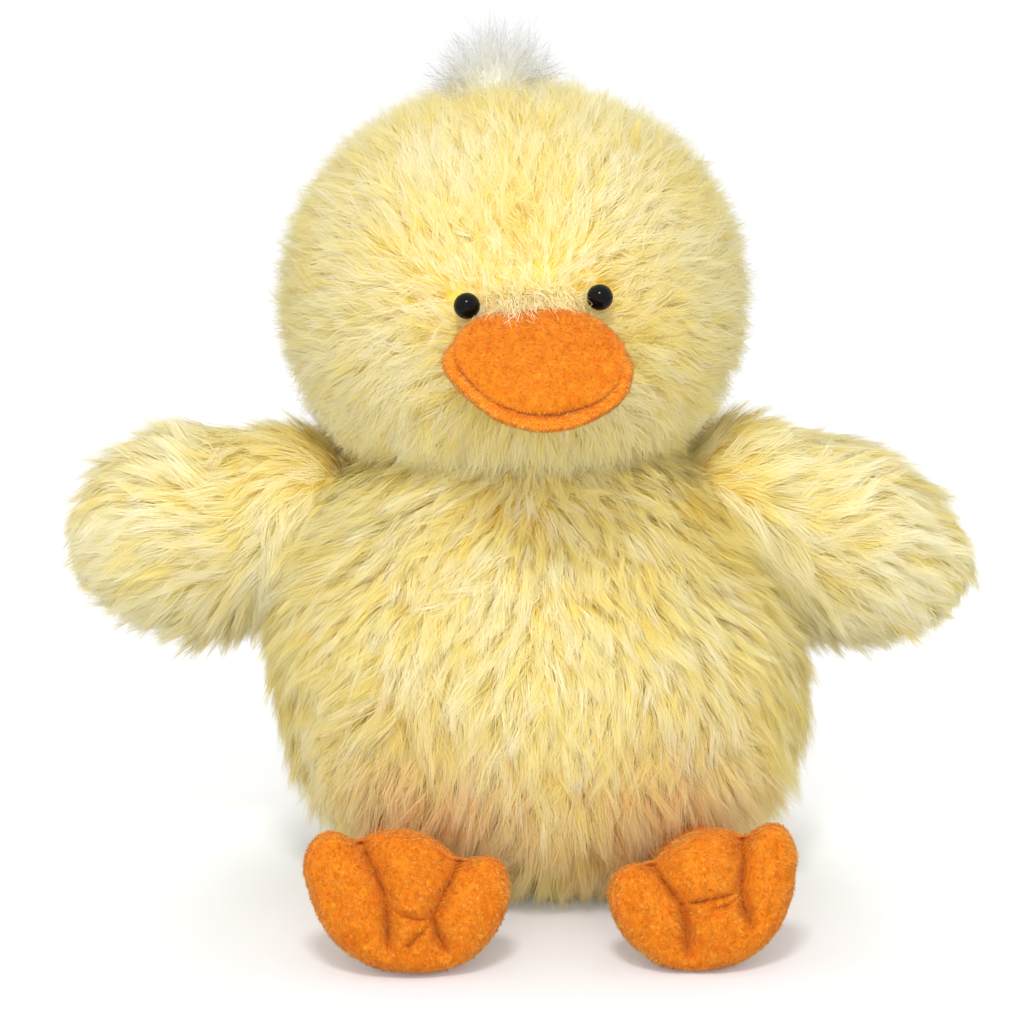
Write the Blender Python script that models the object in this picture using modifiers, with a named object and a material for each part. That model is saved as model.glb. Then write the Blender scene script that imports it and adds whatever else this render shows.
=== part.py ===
"""A plush duck that stands on its flattened base, with its wings held out and its feet in front.

Metres, +Z up. The origin is the centre of the resting face under the torso. The duck looks along -Y, and its own left
side is at +X. Covers are shells of fur fabric whose thickness is the pile lying down, and the filling inside each one is
a piece of its own. The head turns and nods on a round neck, each wing turns on its round root, and each foot tips on the
round end of its leg.
"""

import math

import bmesh
import bpy
from mathutils import Matrix, Vector

# Gaps between pieces
fabric_gap = 0.0003  # between a cover and what lies inside or against it
seat_gap = 0.0006  # round a ball that turns in its seat
overrun = 0.004  # how far a cutter passes the faces that it opens

# Torso: a pear that leans a little to the duck's right
torso_width = 0.194
torso_depth = 0.178
torso_belly_height = 0.078
torso_rise = 0.072
torso_squash = 0.004  # how far its weight presses the base flat
torso_pile = 0.010
base_thickness = 0.004
torso_lean = 0.009
lean_from_height = 0.050
lean_to_height = 0.130
belly_fullness = 3.0
shoulder_fullness = 2.1

# Neck: the round top of the torso that the head sits on
neck_radius = 0.060
neck_height = 0.120  # of its centre
neck_wad_radius = 0.034
neck_wad_depth = 0.030  # below the neck's top

# Pellet pouch in the base
pouch_width = 0.084
pouch_height = 0.030
pouch_fullness = 2.6

# Head
head_width = 0.164
head_depth = 0.152
head_above_neck = 0.087  # from the neck's centre to the head's widest level
head_rise = 0.0735
head_fall = 0.061
head_forward = 0.005
head_pile = 0.008
crown_fullness = 2.2
jaw_fullness = 2.4
head_yaw = math.radians(3)

# Crest on the crown
crest_width = 0.040
crest_depth = 0.026
crest_height = 0.018
crest_root = 0.010
crest_offset = 0.003

# Eyes: a dome on a stem, with a washer inside the head
eye_diameter = 0.0090
eye_spacing = 0.0435
eye_rise = 0.010
eye_unevenness = 0.0016  # the left one sits this much higher, the right one lower
eye_sink = 0.0015  # how deep the dome's back lies under the fur
eye_stem_diameter = 0.0028
washer_diameter = 0.012
washer_thickness = 0.0015

# Bill: a domed upper pad over a rolled lower one
beak_width = 0.061
beak_length = 0.044
beak_dome = 0.026
beak_stand_out = 0.014  # its middle in front of the face
beak_centre_drop = 0.006
beak_pitch = math.radians(44)
beak_roll = math.radians(3)
beak_velour = 0.0016
beak_fullness = 2.5
lip_width = 0.064
lip_length = 0.047
lip_thickness = 0.026
lip_stand_out = 0.005
lip_centre_drop = 0.0135
lip_pitch = math.radians(36)

# Wings
wing_root_radius = 0.026
wing_spread = 0.081  # from the torso's middle to the centre of the root
wing_centre_shift = 0.0072
wing_reach = 0.085  # from the centre of the root to the tip
wing_back = 0.002
wing_root_above = 0.025  # half heights and half thickness where the paddle starts
wing_root_below = 0.0145
wing_root_thick = 0.020
wing_paddle_above = 0.043  # the same where it is at its fullest
wing_paddle_below = 0.047
wing_paddle_thick = 0.036
wing_paddle_from_share = 0.17  # where along the reach the paddle starts to swell
wing_paddle_full_share = 0.62
wing_division = 2.0  # how closely the form is divided near its root
wing_pile = 0.008
left_wing_height = 0.135
right_wing_height = 0.133
left_wing_droop = math.radians(14)
right_wing_droop = math.radians(7)
shoulder_wad_radius = 0.011
shoulder_opening_radius = 0.005

# Tail
tail_width = 0.046
tail_thickness = 0.032
tail_length = 0.040
tail_point_share = 0.35
tail_centre_back = 0.082
tail_height = 0.060
tail_pitch = math.radians(30)

# Legs and feet
leg_radius = 0.014
leg_height = 0.021
leg_spacing = 0.098
leg_root_radius = 0.019  # where it meets the torso
leg_front = 0.101  # from the torso's middle to the ball at the foot
leg_back = 0.050
foot_width = 0.065
foot_height = 0.051
foot_thickness = 0.025
foot_lean = math.radians(14)
left_foot_splay = math.radians(15)  # the outer toe stands higher
right_foot_splay = math.radians(9)
foot_ahead = 0.0175  # from the leg's ball to the middle of the foot
foot_lift = 0.0045  # middle of the foot above the leg's ball
foot_velour = 0.0016
foot_fullness = 2.3
foot_notch_share = 0.15  # how deep the notch between two toes is, of the foot's half height
foot_toe_span = math.radians(52)

# How finely the forms are divided
fine_segments = 28
fine_rings = 16
plain_segments = 20
plain_rings = 12
small_segments = 14
small_rings = 8
wing_rings = 14
dome_steps = 6
rim_steps = 5
merge_reach = 0.00001  # points of a turned form nearer than this are one
seat_segments = 36
seat_rings = 18

parts = bpy.data.collections.new("plush_duck")
cutters = bpy.data.collections.new("plush_duck_cutters")


def clear_scene():
    """Removes the objects that the scene starts with."""
    for found in list(bpy.data.objects):
        bpy.data.objects.remove(found, do_unlink=True)
    bpy.context.scene.collection.children.link(parts)
    bpy.context.scene.collection.children.link(cutters)
    cutters.hide_render = True


def material(name, colour, roughness, metallic=0.0):
    """A plain Principled material in the piece's own colour."""
    made = bpy.data.materials.new(name)
    made.use_nodes = True
    shader = made.node_tree.nodes["Principled BSDF"]
    shader.inputs["Base Color"].default_value = (*colour, 1.0)
    shader.inputs["Roughness"].default_value = roughness
    shader.inputs["Metallic"].default_value = metallic
    return made


FUR = ((0.93, 0.82, 0.36), 0.95)
TUFT = ((0.86, 0.85, 0.82), 0.95)
VELOUR = ((0.93, 0.33, 0.03), 0.85)
FILLING = ((0.88, 0.88, 0.86), 0.95)
PELLETS = ((0.78, 0.76, 0.70), 0.7)
EYE = ((0.01, 0.01, 0.012), 0.08)
WASHER = ((0.70, 0.70, 0.68), 0.5)


def add_piece(name, mesh, look, joint=None):
    """Puts a mesh in the parts collection, in its own material, under its joint's empty."""
    piece = bpy.data.objects.new(name, mesh)
    parts.objects.link(piece)
    mesh.materials.append(material(name, *look))
    mesh.shade_smooth()
    if joint:
        piece.parent = joint
        piece.matrix_parent_inverse = Matrix.Translation(joint.location).inverted()
    return piece


def add_cutter(name, mesh):
    """Puts a mesh among the cutters, which no render shows."""
    cutter = bpy.data.objects.new(name, mesh)
    cutters.objects.link(cutter)
    cutter.hide_render = True
    cutter.display_type = "WIRE"
    return cutter


def add_joint(name, place, parent=None):
    """An empty on a joint's axis."""
    joint = bpy.data.objects.new(name, None)
    parts.objects.link(joint)
    joint.location = place
    if parent:
        joint.parent = parent
        joint.matrix_parent_inverse = Matrix.Translation(parent.location).inverted()
    return joint


def cut(piece, *removed):
    """Takes each cutter away from the piece."""
    for cutter in removed:
        step = piece.modifiers.new(cutter.name, "BOOLEAN")
        step.operation = "DIFFERENCE"
        step.solver = "EXACT"
        step.object = cutter


def swollen(name, segments, rings, place):
    """A unit sphere with every point sent where place puts it, in triangles, so that nested forms match."""
    mesh = bpy.data.meshes.new(name)
    form = bmesh.new()
    bmesh.ops.create_uvsphere(form, u_segments=segments, v_segments=rings, radius=1)
    for point in form.verts:
        point.co = place(point.co.copy())
    bmesh.ops.triangulate(form, faces=form.faces, quad_method="FIXED")
    form.normal_update()
    bmesh.ops.recalc_face_normals(form, faces=form.faces)
    form.to_mesh(mesh)
    form.free()
    return mesh


def ball(name, centre, radius, segments=seat_segments, rings=seat_rings):
    """A sphere, for a seat or a wad."""
    return swollen(name, segments, rings, lambda unit: centre + unit * radius)


def rod(name, start, end, radius, segments=plain_segments):
    """A closed cylinder from start to end."""
    mesh = bpy.data.meshes.new(name)
    form = bmesh.new()
    along = end - start
    turn = Vector((0, 0, 1)).rotation_difference(along).to_matrix().to_4x4()
    bmesh.ops.create_cone(
        form,
        cap_ends=True,
        segments=segments,
        radius1=radius,
        radius2=radius,
        depth=along.length,
        matrix=Matrix.Translation((start + end) / 2) @ turn,
    )
    form.to_mesh(mesh)
    form.free()
    return mesh


def turned(name, profile, frame, segments, ring=False):
    """A profile of (radius, height) pairs, from the top down its outer side, turned about the frame's Z axis."""
    mesh = bpy.data.meshes.new(name)
    points = [(radius, 0, height) for radius, height in profile]
    ends = [(i, i + 1) for i in range(len(points) - 1)]
    mesh.from_pydata(points, ends + [(len(points) - 1, 0)] * ring, [])
    blank = bpy.data.objects.new(name, mesh)
    cutters.objects.link(blank)
    step = blank.modifiers.new("turn", "SCREW")
    step.axis = "Z"
    step.angle = math.tau
    step.steps = segments
    step.render_steps = segments
    step.use_merge_vertices = True
    step.merge_threshold = merge_reach
    graph = bpy.context.evaluated_depsgraph_get()
    made = bpy.data.meshes.new_from_object(blank.evaluated_get(graph))
    made.transform(frame)
    bpy.data.objects.remove(blank, do_unlink=True)
    return made


def slab(name, frame, half_sides):
    """A box on the frame's axes, centred on its origin."""
    mesh = bpy.data.meshes.new(name)
    form = bmesh.new()
    scale = Matrix.Diagonal((*(2 * half for half in half_sides), 1))
    bmesh.ops.create_cube(form, size=1, matrix=frame @ scale)
    form.to_mesh(mesh)
    form.free()
    return mesh


def reach_to(unit, half_width, half_depth, half_height, fullness):
    """How far a rounded form goes in a direction. A fullness of 2 is an ellipsoid, and more is squarer from the side."""
    level = math.hypot(unit.x / half_width, unit.y / half_depth)
    return (level**fullness + abs(unit.z / half_height) ** fullness) ** (-1 / fullness)


def smooth_share(value):
    """Eases from 0 to 1."""
    share = min(max(value, 0), 1)
    return share * share * (3 - 2 * share)


def between(first, last, share):
    """The size that lies a share of the way from the first to the last."""
    return first + (last - first) * share


def lean_at(height):
    """How far the torso's middle has moved to the duck's right at a height."""
    return -torso_lean * smooth_share((height - lean_from_height) / (lean_to_height - lean_from_height))


NECK = Vector((-torso_lean, 0, neck_height))
HEAD = Vector((-torso_lean, -head_forward, neck_height + head_above_neck))
FACE = Matrix.Translation(HEAD) @ Matrix.Rotation(head_yaw, 4, "Z")


def torso_place(inset):
    """Where the torso's points go: the larger of a pear and the round neck, moved in by inset."""
    floor = base_thickness + inset - torso_pile if inset > 0 else 0
    fall = torso_belly_height + torso_squash - (floor if inset > 0 else inset)

    def place(unit):
        half_height = torso_rise - inset if unit.z > 0 else fall
        fullness = shoulder_fullness if unit.z > 0 else belly_fullness
        pear = reach_to(unit, torso_width / 2 - inset, torso_depth / 2 - inset, half_height, fullness)
        up = neck_height - torso_belly_height
        beyond = (neck_radius - inset) ** 2 - up**2 * (1 - unit.z**2)
        neck = up * unit.z + math.sqrt(beyond) if beyond > 0 else 0
        point = unit * max(pear, neck)
        height = max(point.z + torso_belly_height, floor)
        return Vector((point.x + lean_at(height), point.y, height))

    return place


def head_place(inset):
    """Where the head's points go, moved in by inset."""

    def place(unit):
        half_height = (head_rise if unit.z > 0 else head_fall) - inset
        fullness = crown_fullness if unit.z > 0 else jaw_fullness
        return FACE @ (unit * reach_to(unit, head_width / 2 - inset, head_depth / 2 - inset, half_height, fullness))

    return place


def wing_frame(side):
    """The centre of a wing's root, with +X out along the wing."""
    height, droop = (
        (left_wing_height, left_wing_droop) if side > 0 else (right_wing_height, right_wing_droop)
    )
    centre = Vector((side * wing_spread - wing_centre_shift, wing_back, height))
    return Matrix.Translation(centre) @ Matrix.Diagonal((side, 1, 1, 1)) @ Matrix.Rotation(droop, 4, "Y")


def wing_place(side, inset):
    """Where a wing's points go: a ball at the root, drawn in, then a paddle that grows taller towards the tip."""
    frame = wing_frame(side)
    root = wing_root_radius - inset

    def place(unit):
        around = unit.to_2d().normalized()
        if unit.z <= 0:
            across = root * unit.to_2d().length
            return frame @ Vector((root * unit.z, across * around.y, across * around.x))
        out = unit.z**wing_division
        swell = smooth_share((out - wing_paddle_from_share) / (wing_paddle_full_share - wing_paddle_from_share))
        ring = math.sqrt(1 - out**2)
        along = out * (wing_reach - inset)
        round_part = math.sqrt(max(root**2 - along**2, 0))
        above = between(wing_root_above, wing_paddle_above, swell) - inset
        below = between(wing_root_below, wing_paddle_below, swell) - inset
        tall = max(round_part, (above if around.x > 0 else below) * ring)
        thick = max(round_part, (between(wing_root_thick, wing_paddle_thick, swell) - inset) * ring)
        return frame @ Vector((along, thick * around.y, tall * around.x))

    return place


def leg_ball(side):
    """The centre of the round end that a foot tips on."""
    return Vector((side * leg_spacing / 2, -leg_front, leg_height))


def leg_place(side, grow):
    """Where a leg's points go: a round-ended stub from the ball back into the torso."""
    front = leg_ball(side)

    def place(unit):
        inside = unit.z > 0
        radius = (leg_root_radius if inside else leg_radius) + grow
        straight = leg_front - leg_back if inside else 0
        return front + Vector((unit.x, unit.z, unit.y)) * radius + Vector((0, straight, 0))

    return place


def foot_frame(side):
    """The middle of a foot: +X across, +Y up along the sole, +Z out of the sole."""
    middle = leg_ball(side) + Vector((0, -foot_ahead, foot_lift))
    upright = Matrix.Rotation(math.radians(90) - foot_lean, 4, "X")
    splay = left_foot_splay if side > 0 else -right_foot_splay
    return Matrix.Translation(middle) @ upright @ Matrix.Rotation(splay, 4, "Z")


def foot_place(side, inset):
    """Where a foot's points go: a pad whose outline is notched between its three toes at the top."""
    frame = foot_frame(side)

    def place(unit):
        around = math.atan2(unit.y, unit.x) - math.radians(90)
        notched = abs(around) < foot_toe_span
        notch = foot_notch_share * (1 - abs(math.cos(math.pi * around / foot_toe_span))) if notched else 0
        reach = reach_to(
            Vector((unit.x, unit.z, unit.y)),
            foot_width / 2 - inset,
            foot_thickness / 2 - inset,
            foot_height / 2 - inset,
            foot_fullness,
        )
        swell = 1 - notch * math.hypot(unit.x, unit.y) ** 2
        point = frame @ Vector((unit.x * reach * swell, unit.y * reach * swell, unit.z * reach))
        point.z = max(point.z, inset)
        return point

    return place


def eye_frame(side):
    """The centre of an eye's back face, with +Z out of the head."""
    aside = side * eye_spacing / 2
    up = eye_rise + side * eye_unevenness
    level_share = math.hypot(aside / (head_width / 2), up / head_rise)
    forward = -head_depth / 2 * math.sqrt(1 - level_share**2)
    spot = Vector((aside, forward, up))
    outward = Vector((aside / head_width**2, forward / head_depth**2, up / (2 * head_rise) ** 2)).normalized()
    turn = outward.to_track_quat("Z", "Y").to_matrix().to_4x4()
    return FACE @ Matrix.Translation(spot - outward * eye_sink) @ turn


def eye_profile(grow):
    """A dome with a stem behind it, all grown outwards by grow."""
    radius = eye_diameter / 2 + grow
    stem = eye_stem_diameter / 2 + grow
    length = head_pile + washer_thickness + grow
    arc = [math.radians(90) * (1 - i / dome_steps) for i in range(dome_steps + 1)]
    dome = [(radius * math.cos(angle), radius * math.sin(angle)) for angle in arc]
    dome[0] = (0, radius)
    return dome + [(radius, -grow), (stem, -grow), (stem, -length), (0, -length)]


def washer_profile():
    """A flat ring that locks on an eye's stem, from its top face down its outer side and up through its hole."""
    outer = washer_diameter / 2
    inner = eye_stem_diameter / 2 + fabric_gap
    top = washer_thickness / 2
    return [(inner, top), (outer, top), (outer, -top), (inner, -top)]


def beak_place(inset, width, length, thickness, stand_out, centre_drop, pitch):
    """Where a bill pad's points go: a pad across the face, pitched down, moved in by inset."""
    centre = Vector((0, -head_depth / 2 - stand_out, -centre_drop))
    frame = FACE @ Matrix.Translation(centre) @ Matrix.Rotation(beak_roll, 4, "Y") @ Matrix.Rotation(pitch, 4, "X")

    def place(unit):
        reach = reach_to(
            Vector((unit.x, unit.z, unit.y)),
            width / 2 - inset,
            thickness / 2 - inset,
            length / 2 - inset,
            beak_fullness,
        )
        return frame @ (unit * reach)

    return place


def upper_beak_place(inset):
    """Where the upper bill's points go, moved in by inset."""
    return beak_place(inset, beak_width, beak_length, beak_dome, beak_stand_out, beak_centre_drop, beak_pitch)


def lower_beak_place(inset):
    """Where the lower bill's points go, moved in by inset."""
    return beak_place(inset, lip_width, lip_length, lip_thickness, lip_stand_out, lip_centre_drop, lip_pitch)


def crest_place(unit):
    """Where the crest's points go: a round tuft on the crown."""
    height = crest_height if unit.z > 0 else crest_root
    top = Vector((crest_offset, head_forward, head_rise))
    return FACE @ (top + Vector((unit.x * crest_width / 2, unit.y * crest_depth / 2, unit.z * height)))


def tail_place(unit):
    """Where the tail's points go: a stub that narrows backwards and points up."""
    root = Vector((lean_at(tail_height), tail_centre_back, tail_height))
    frame = Matrix.Translation(root) @ Matrix.Rotation(tail_pitch, 4, "X")
    narrow = 1 - tail_point_share * max(unit.z, 0)
    return frame @ Vector((unit.x * tail_width / 2 * narrow, unit.z * tail_length, unit.y * tail_thickness / 2 * narrow))


def pouch_place(grow, floor):
    """Where the pellet pouch's points go: a low cushion on the base."""

    def place(unit):
        reach = reach_to(unit, pouch_width / 2 + grow, pouch_width / 2 + grow, pouch_height / 2 + grow, pouch_fullness)
        point = unit * reach
        return Vector((point.x, point.y, max(point.z + pouch_height / 2, floor)))

    return place


def build_torso():
    """The torso's cover and filling, the neck wad, the pellet pouch and the tail."""
    neck_joint = add_joint("neck_turn_axis", NECK)
    hollow = add_cutter("torso_hollow", swollen("torso_hollow", plain_segments, plain_rings, torso_place(torso_pile)))
    roots = [
        add_cutter(name, ball(name, wing_frame(side).translation, wing_root_radius + seat_gap, fine_segments, fine_rings))
        for side, name in ((1, "wing_left_seat"), (-1, "wing_right_seat"))
    ]
    legs = [
        add_cutter(name, swollen(name, small_segments, small_rings, leg_place(side, fabric_gap * 2)))
        for side, name in ((1, "leg_left_seat"), (-1, "leg_right_seat"))
    ]
    wad_low = Vector((NECK.x, NECK.y, neck_height + neck_radius - neck_wad_depth))
    wad_top = Vector((NECK.x, NECK.y, neck_height + neck_radius + overrun))
    wad_seat = add_cutter(
        "neck_wad_seat",
        rod("neck_wad_seat", wad_low - Vector((0, 0, fabric_gap)), wad_top, neck_wad_radius + seat_gap, seat_segments),
    )
    skin = add_piece("torso_skin", swollen("torso_skin", fine_segments, fine_rings, torso_place(0)), FUR)
    cut(skin, hollow, wad_seat, *roots, *legs)

    pouch_floor = base_thickness + 2 * fabric_gap
    pouch = swollen("pellet_pouch", plain_segments, small_rings, pouch_place(0, pouch_floor))
    add_piece("pellet_pouch", pouch, PELLETS)
    pouch_seat = add_cutter(
        "pellet_pouch_seat", swollen("pellet_pouch_seat", plain_segments, small_rings, pouch_place(fabric_gap, 0))
    )
    filling = swollen("torso_stuffing", plain_segments, plain_rings, torso_place(torso_pile + fabric_gap))
    cut(add_piece("torso_stuffing", filling, FILLING), wad_seat, pouch_seat, *roots, *legs)

    rim_height = math.sqrt(neck_radius**2 - neck_wad_radius**2)
    rim_angle = math.asin(neck_wad_radius / neck_radius)
    arc = [rim_angle * i / rim_steps for i in range(rim_steps + 1)]
    dome = [(neck_radius * math.sin(angle), neck_radius * math.cos(angle)) for angle in arc]
    bottom = neck_radius - neck_wad_depth
    profile = dome + [(neck_wad_radius, (rim_height + bottom) / 2), (neck_wad_radius, bottom), (0, bottom)]
    wad = turned("neck_stuffing", profile, Matrix.Translation(NECK), seat_segments)
    add_piece("neck_stuffing", wad, FILLING, neck_joint)

    outside = add_cutter("torso_outside", swollen("torso_outside", fine_segments, fine_rings, torso_place(-fabric_gap)))
    tail = add_piece("tail", swollen("tail", small_segments, small_rings, tail_place), FUR)
    cut(tail, outside)
    return neck_joint


def build_head(neck_joint):
    """The head's cover and filling, the crest, the bill and the eyes."""
    head_joint = add_joint("head_nod_axis", NECK, neck_joint)
    neck_seat = add_cutter("neck_seat", ball("neck_seat", NECK, neck_radius + seat_gap))
    hollow = add_cutter("head_hollow", swollen("head_hollow", plain_segments, plain_rings, head_place(head_pile)))
    skin = add_piece("head_skin", swollen("head_skin", fine_segments, fine_rings, head_place(0)), FUR, head_joint)
    cut(skin, hollow, neck_seat)
    filling_mesh = swollen("head_stuffing", plain_segments, plain_rings, head_place(head_pile + fabric_gap))
    filling = add_piece("head_stuffing", filling_mesh, FILLING, head_joint)
    cut(filling, neck_seat)
    outside = add_cutter("head_outside", swollen("head_outside", fine_segments, fine_rings, head_place(-fabric_gap)))

    upper_seat = add_cutter(
        "beak_upper_seat", swollen("beak_upper_seat", plain_segments, plain_rings, upper_beak_place(-fabric_gap))
    )
    hollow = add_cutter(
        "beak_hollow", swollen("beak_hollow", plain_segments, plain_rings, upper_beak_place(beak_velour))
    )
    upper = swollen("beak_upper", plain_segments, plain_rings, upper_beak_place(0))
    cut(add_piece("beak_upper", upper, VELOUR, head_joint), hollow, outside)
    stuffing = swollen("beak_stuffing", plain_segments, plain_rings, upper_beak_place(beak_velour + fabric_gap))
    cut(add_piece("beak_stuffing", stuffing, FILLING, head_joint), outside)
    lower = swollen("beak_lower", plain_segments, plain_rings, lower_beak_place(0))
    cut(add_piece("beak_lower", lower, VELOUR, head_joint), outside, upper_seat)

    for side, name in ((1, "left"), (-1, "right")):
        frame = eye_frame(side)
        eye = turned("eye_" + name, eye_profile(0), frame, small_segments)
        add_piece("eye_" + name, eye, EYE, head_joint)
        seat = turned("eye_seat_" + name, eye_profile(fabric_gap), frame, small_segments)
        behind = Matrix.Translation((0, 0, -head_pile - washer_thickness / 2))
        washer = turned("eye_washer_" + name, washer_profile(), frame @ behind, small_segments, ring=True)
        add_piece("eye_washer_" + name, washer, WASHER, head_joint)
        pocket = rod(
            "eye_washer_seat_" + name,
            frame @ Vector((0, 0, eye_sink)),
            frame @ Vector((0, 0, -head_pile - washer_thickness - 2 * fabric_gap)),
            washer_diameter / 2 + fabric_gap,
        )
        cut(skin, add_cutter("eye_seat_" + name, seat))
        cut(filling, add_cutter("eye_washer_seat_" + name, pocket))

    crest = add_piece("crest_tuft", swollen("crest_tuft", small_segments, small_rings, crest_place), TUFT, head_joint)
    cut(crest, outside)


def build_wing(side, name):
    """A wing's cover and filling, and the wad in its root."""
    centre = wing_frame(side).translation
    inwards = Vector((-side * (wing_root_radius + overrun), 0, 0))
    sweep_joint = add_joint("wing_" + name + "_sweep_axis", centre)
    lift_joint = add_joint("wing_" + name + "_lift_axis", centre, sweep_joint)
    mouth_name = "shoulder_" + name + "_opening"
    mouth = add_cutter(mouth_name, rod(mouth_name, centre, centre + inwards, shoulder_opening_radius, small_segments))
    hollow_name = "wing_" + name + "_hollow"
    hollow = swollen(hollow_name, small_segments, small_rings, wing_place(side, wing_pile))
    skin = swollen("wing_" + name + "_skin", plain_segments, wing_rings, wing_place(side, 0))
    cut(
        add_piece("wing_" + name + "_skin", skin, FUR, lift_joint),
        add_cutter(hollow_name, hollow),
        mouth,
    )
    filling_name = "wing_" + name + "_stuffing"
    filling = swollen(filling_name, small_segments, small_rings, wing_place(side, wing_pile + fabric_gap))
    seat_name = "shoulder_" + name + "_seat"
    seat = ball(seat_name, centre, shoulder_wad_radius + seat_gap, plain_segments, plain_rings)
    cut(add_piece(filling_name, filling, FILLING, lift_joint), add_cutter(seat_name, seat), mouth)
    wad_name = "shoulder_" + name + "_stuffing"
    wad = ball(wad_name, centre, shoulder_wad_radius, small_segments, small_rings)
    add_piece(wad_name, wad, FILLING, sweep_joint)


def build_foot(side, name):
    """A leg, and the foot's two panels and filling."""
    foot_joint = add_joint("foot_" + name + "_tip_axis", leg_ball(side))
    leg = swollen("leg_" + name, small_segments, small_rings, leg_place(side, 0))
    add_piece("leg_" + name, leg, VELOUR)
    seat_name = "foot_" + name + "_seat"
    seat = ball(seat_name, leg_ball(side), leg_radius + seat_gap, plain_segments, plain_rings)
    seat = add_cutter(seat_name, seat)
    hollow_name = "foot_" + name + "_hollow"
    hollow = swollen(hollow_name, plain_segments, small_rings, foot_place(side, foot_velour))
    hollow = add_cutter(hollow_name, hollow)
    for panel, facing in (("sole", 1), ("upper", -1)):
        panel_name = "foot_" + name + "_" + panel
        other_half = foot_frame(side) @ Matrix.Translation((0, 0, facing * (fabric_gap / 2 - foot_thickness)))
        half = slab(panel_name + "_seam", other_half, (foot_width, foot_height, foot_thickness))
        form = swollen(panel_name, fine_segments, plain_rings, foot_place(side, 0))
        piece = add_piece(panel_name, form, VELOUR, foot_joint)
        cut(piece, add_cutter(panel_name + "_seam", half), hollow)
        if panel == "upper":
            cut(piece, seat)
    filling_name = "foot_" + name + "_stuffing"
    filling = swollen(filling_name, plain_segments, small_rings, foot_place(side, foot_velour + seat_gap))
    cut(add_piece(filling_name, filling, FILLING, foot_joint), seat)


def main():
    """Builds the duck from the torso outwards."""
    clear_scene()
    build_head(build_torso())
    for side, name in ((1, "left"), (-1, "right")):
        build_wing(side, name)
        build_foot(side, name)


main()
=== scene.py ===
"""The looks of the plush duck: its fur, the velour of its bill and feet, its eyes, and a plain pale studio.

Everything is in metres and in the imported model's frame. The duck looks along -Y, and its own left is at +X.
Fur is made of real tapered hairs that grow from a backing cloth inside the fur's outline, are combed along a
flow and gather in locks. Velour is a padded form with a short nap of its own.
"""

import logging
import math
from dataclasses import dataclass, field, replace
from enum import Enum
from typing import Callable

import bpy
import numpy as np
import numpy.typing as npt
from mathutils import Matrix, Vector
from mathutils.kdtree import KDTree


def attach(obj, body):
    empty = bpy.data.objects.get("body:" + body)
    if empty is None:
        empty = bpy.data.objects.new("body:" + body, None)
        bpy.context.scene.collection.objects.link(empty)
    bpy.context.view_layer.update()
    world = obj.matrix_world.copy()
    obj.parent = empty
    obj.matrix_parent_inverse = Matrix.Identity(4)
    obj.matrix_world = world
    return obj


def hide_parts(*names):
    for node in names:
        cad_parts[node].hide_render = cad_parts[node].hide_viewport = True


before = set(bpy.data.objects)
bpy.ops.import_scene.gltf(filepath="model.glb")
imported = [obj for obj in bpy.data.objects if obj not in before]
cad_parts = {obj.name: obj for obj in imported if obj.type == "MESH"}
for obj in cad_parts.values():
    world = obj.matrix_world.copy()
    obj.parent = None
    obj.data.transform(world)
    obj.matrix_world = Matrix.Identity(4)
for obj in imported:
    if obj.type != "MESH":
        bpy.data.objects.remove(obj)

Array = npt.NDArray[np.float64]
Whole = npt.NDArray[np.int64]
Colour = tuple[float, float, float]
Place = Callable[[Array], Array]

log = logging.getLogger("plush_duck")


class Side(Enum):
    """The duck's own left and right."""

    LEFT = 1
    RIGHT = -1

    @property
    def word(self) -> str:
        """The side's name inside a piece's name."""
        return self.name.lower()


def eased(share: Array) -> Array:
    """Eases shares from 0 to 1.

    Args:
        share: Any numbers.

    Returns:
        0 below 0, 1 above 1, and a smooth rise between.
    """
    held = np.clip(share, 0, 1)
    return held * held * (3 - 2 * held)


def unit(vectors: Array) -> Array:
    """Vectors of length 1 in the same directions."""
    return vectors / np.maximum(np.linalg.norm(vectors, axis=-1, keepdims=True), 1e-12)


def along_surface(vectors: Array, normals: Array) -> Array:
    """The part of each vector that lies in the surface, at length 1."""
    return unit(vectors - normals * np.sum(vectors * normals, axis=1, keepdims=True))


def ripples(points: Array, size: float, seed: int) -> Array:
    """Smooth pseudo-random values over space.

    Args:
        points: Places, one row each.
        size: How far apart the ripples are.
        seed: Which pattern.

    Returns:
        A value near -1 to 1 for each place.
    """
    rng = np.random.default_rng(seed)
    total = np.zeros(len(points))
    for _ in range(6):
        direction = unit(rng.normal(size=3))
        pace = math.tau / size * rng.uniform(0.6, 1.5)
        total += np.sin(points @ direction * pace + rng.uniform(0, math.tau))
    return total / 2.6


def moved(points: Array, matrix: Matrix) -> Array:
    """Points under a 4 by 4 matrix."""
    turn = np.array(matrix)
    return points @ turn[:3, :3].T + turn[:3, 3]


def reach_to(
    units: Array, half_width: float, half_depth: float, half_height: Array, fullness: Array
) -> Array:
    """How far a rounded form goes in each direction.

    Args:
        units: The directions, each of length 1.
        half_width: How far the form goes sideways.
        half_depth: How far it goes forwards and back.
        half_height: How far it goes up or down, for each direction.
        fullness: 2 for an ellipsoid and more for a squarer form, for each direction.

    Returns:
        The distances.
    """
    level = np.hypot(units[:, 0] / half_width, units[:, 1] / half_depth)
    return (level**fullness + np.abs(units[:, 2] / half_height) ** fullness) ** (-1 / fullness)


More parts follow.
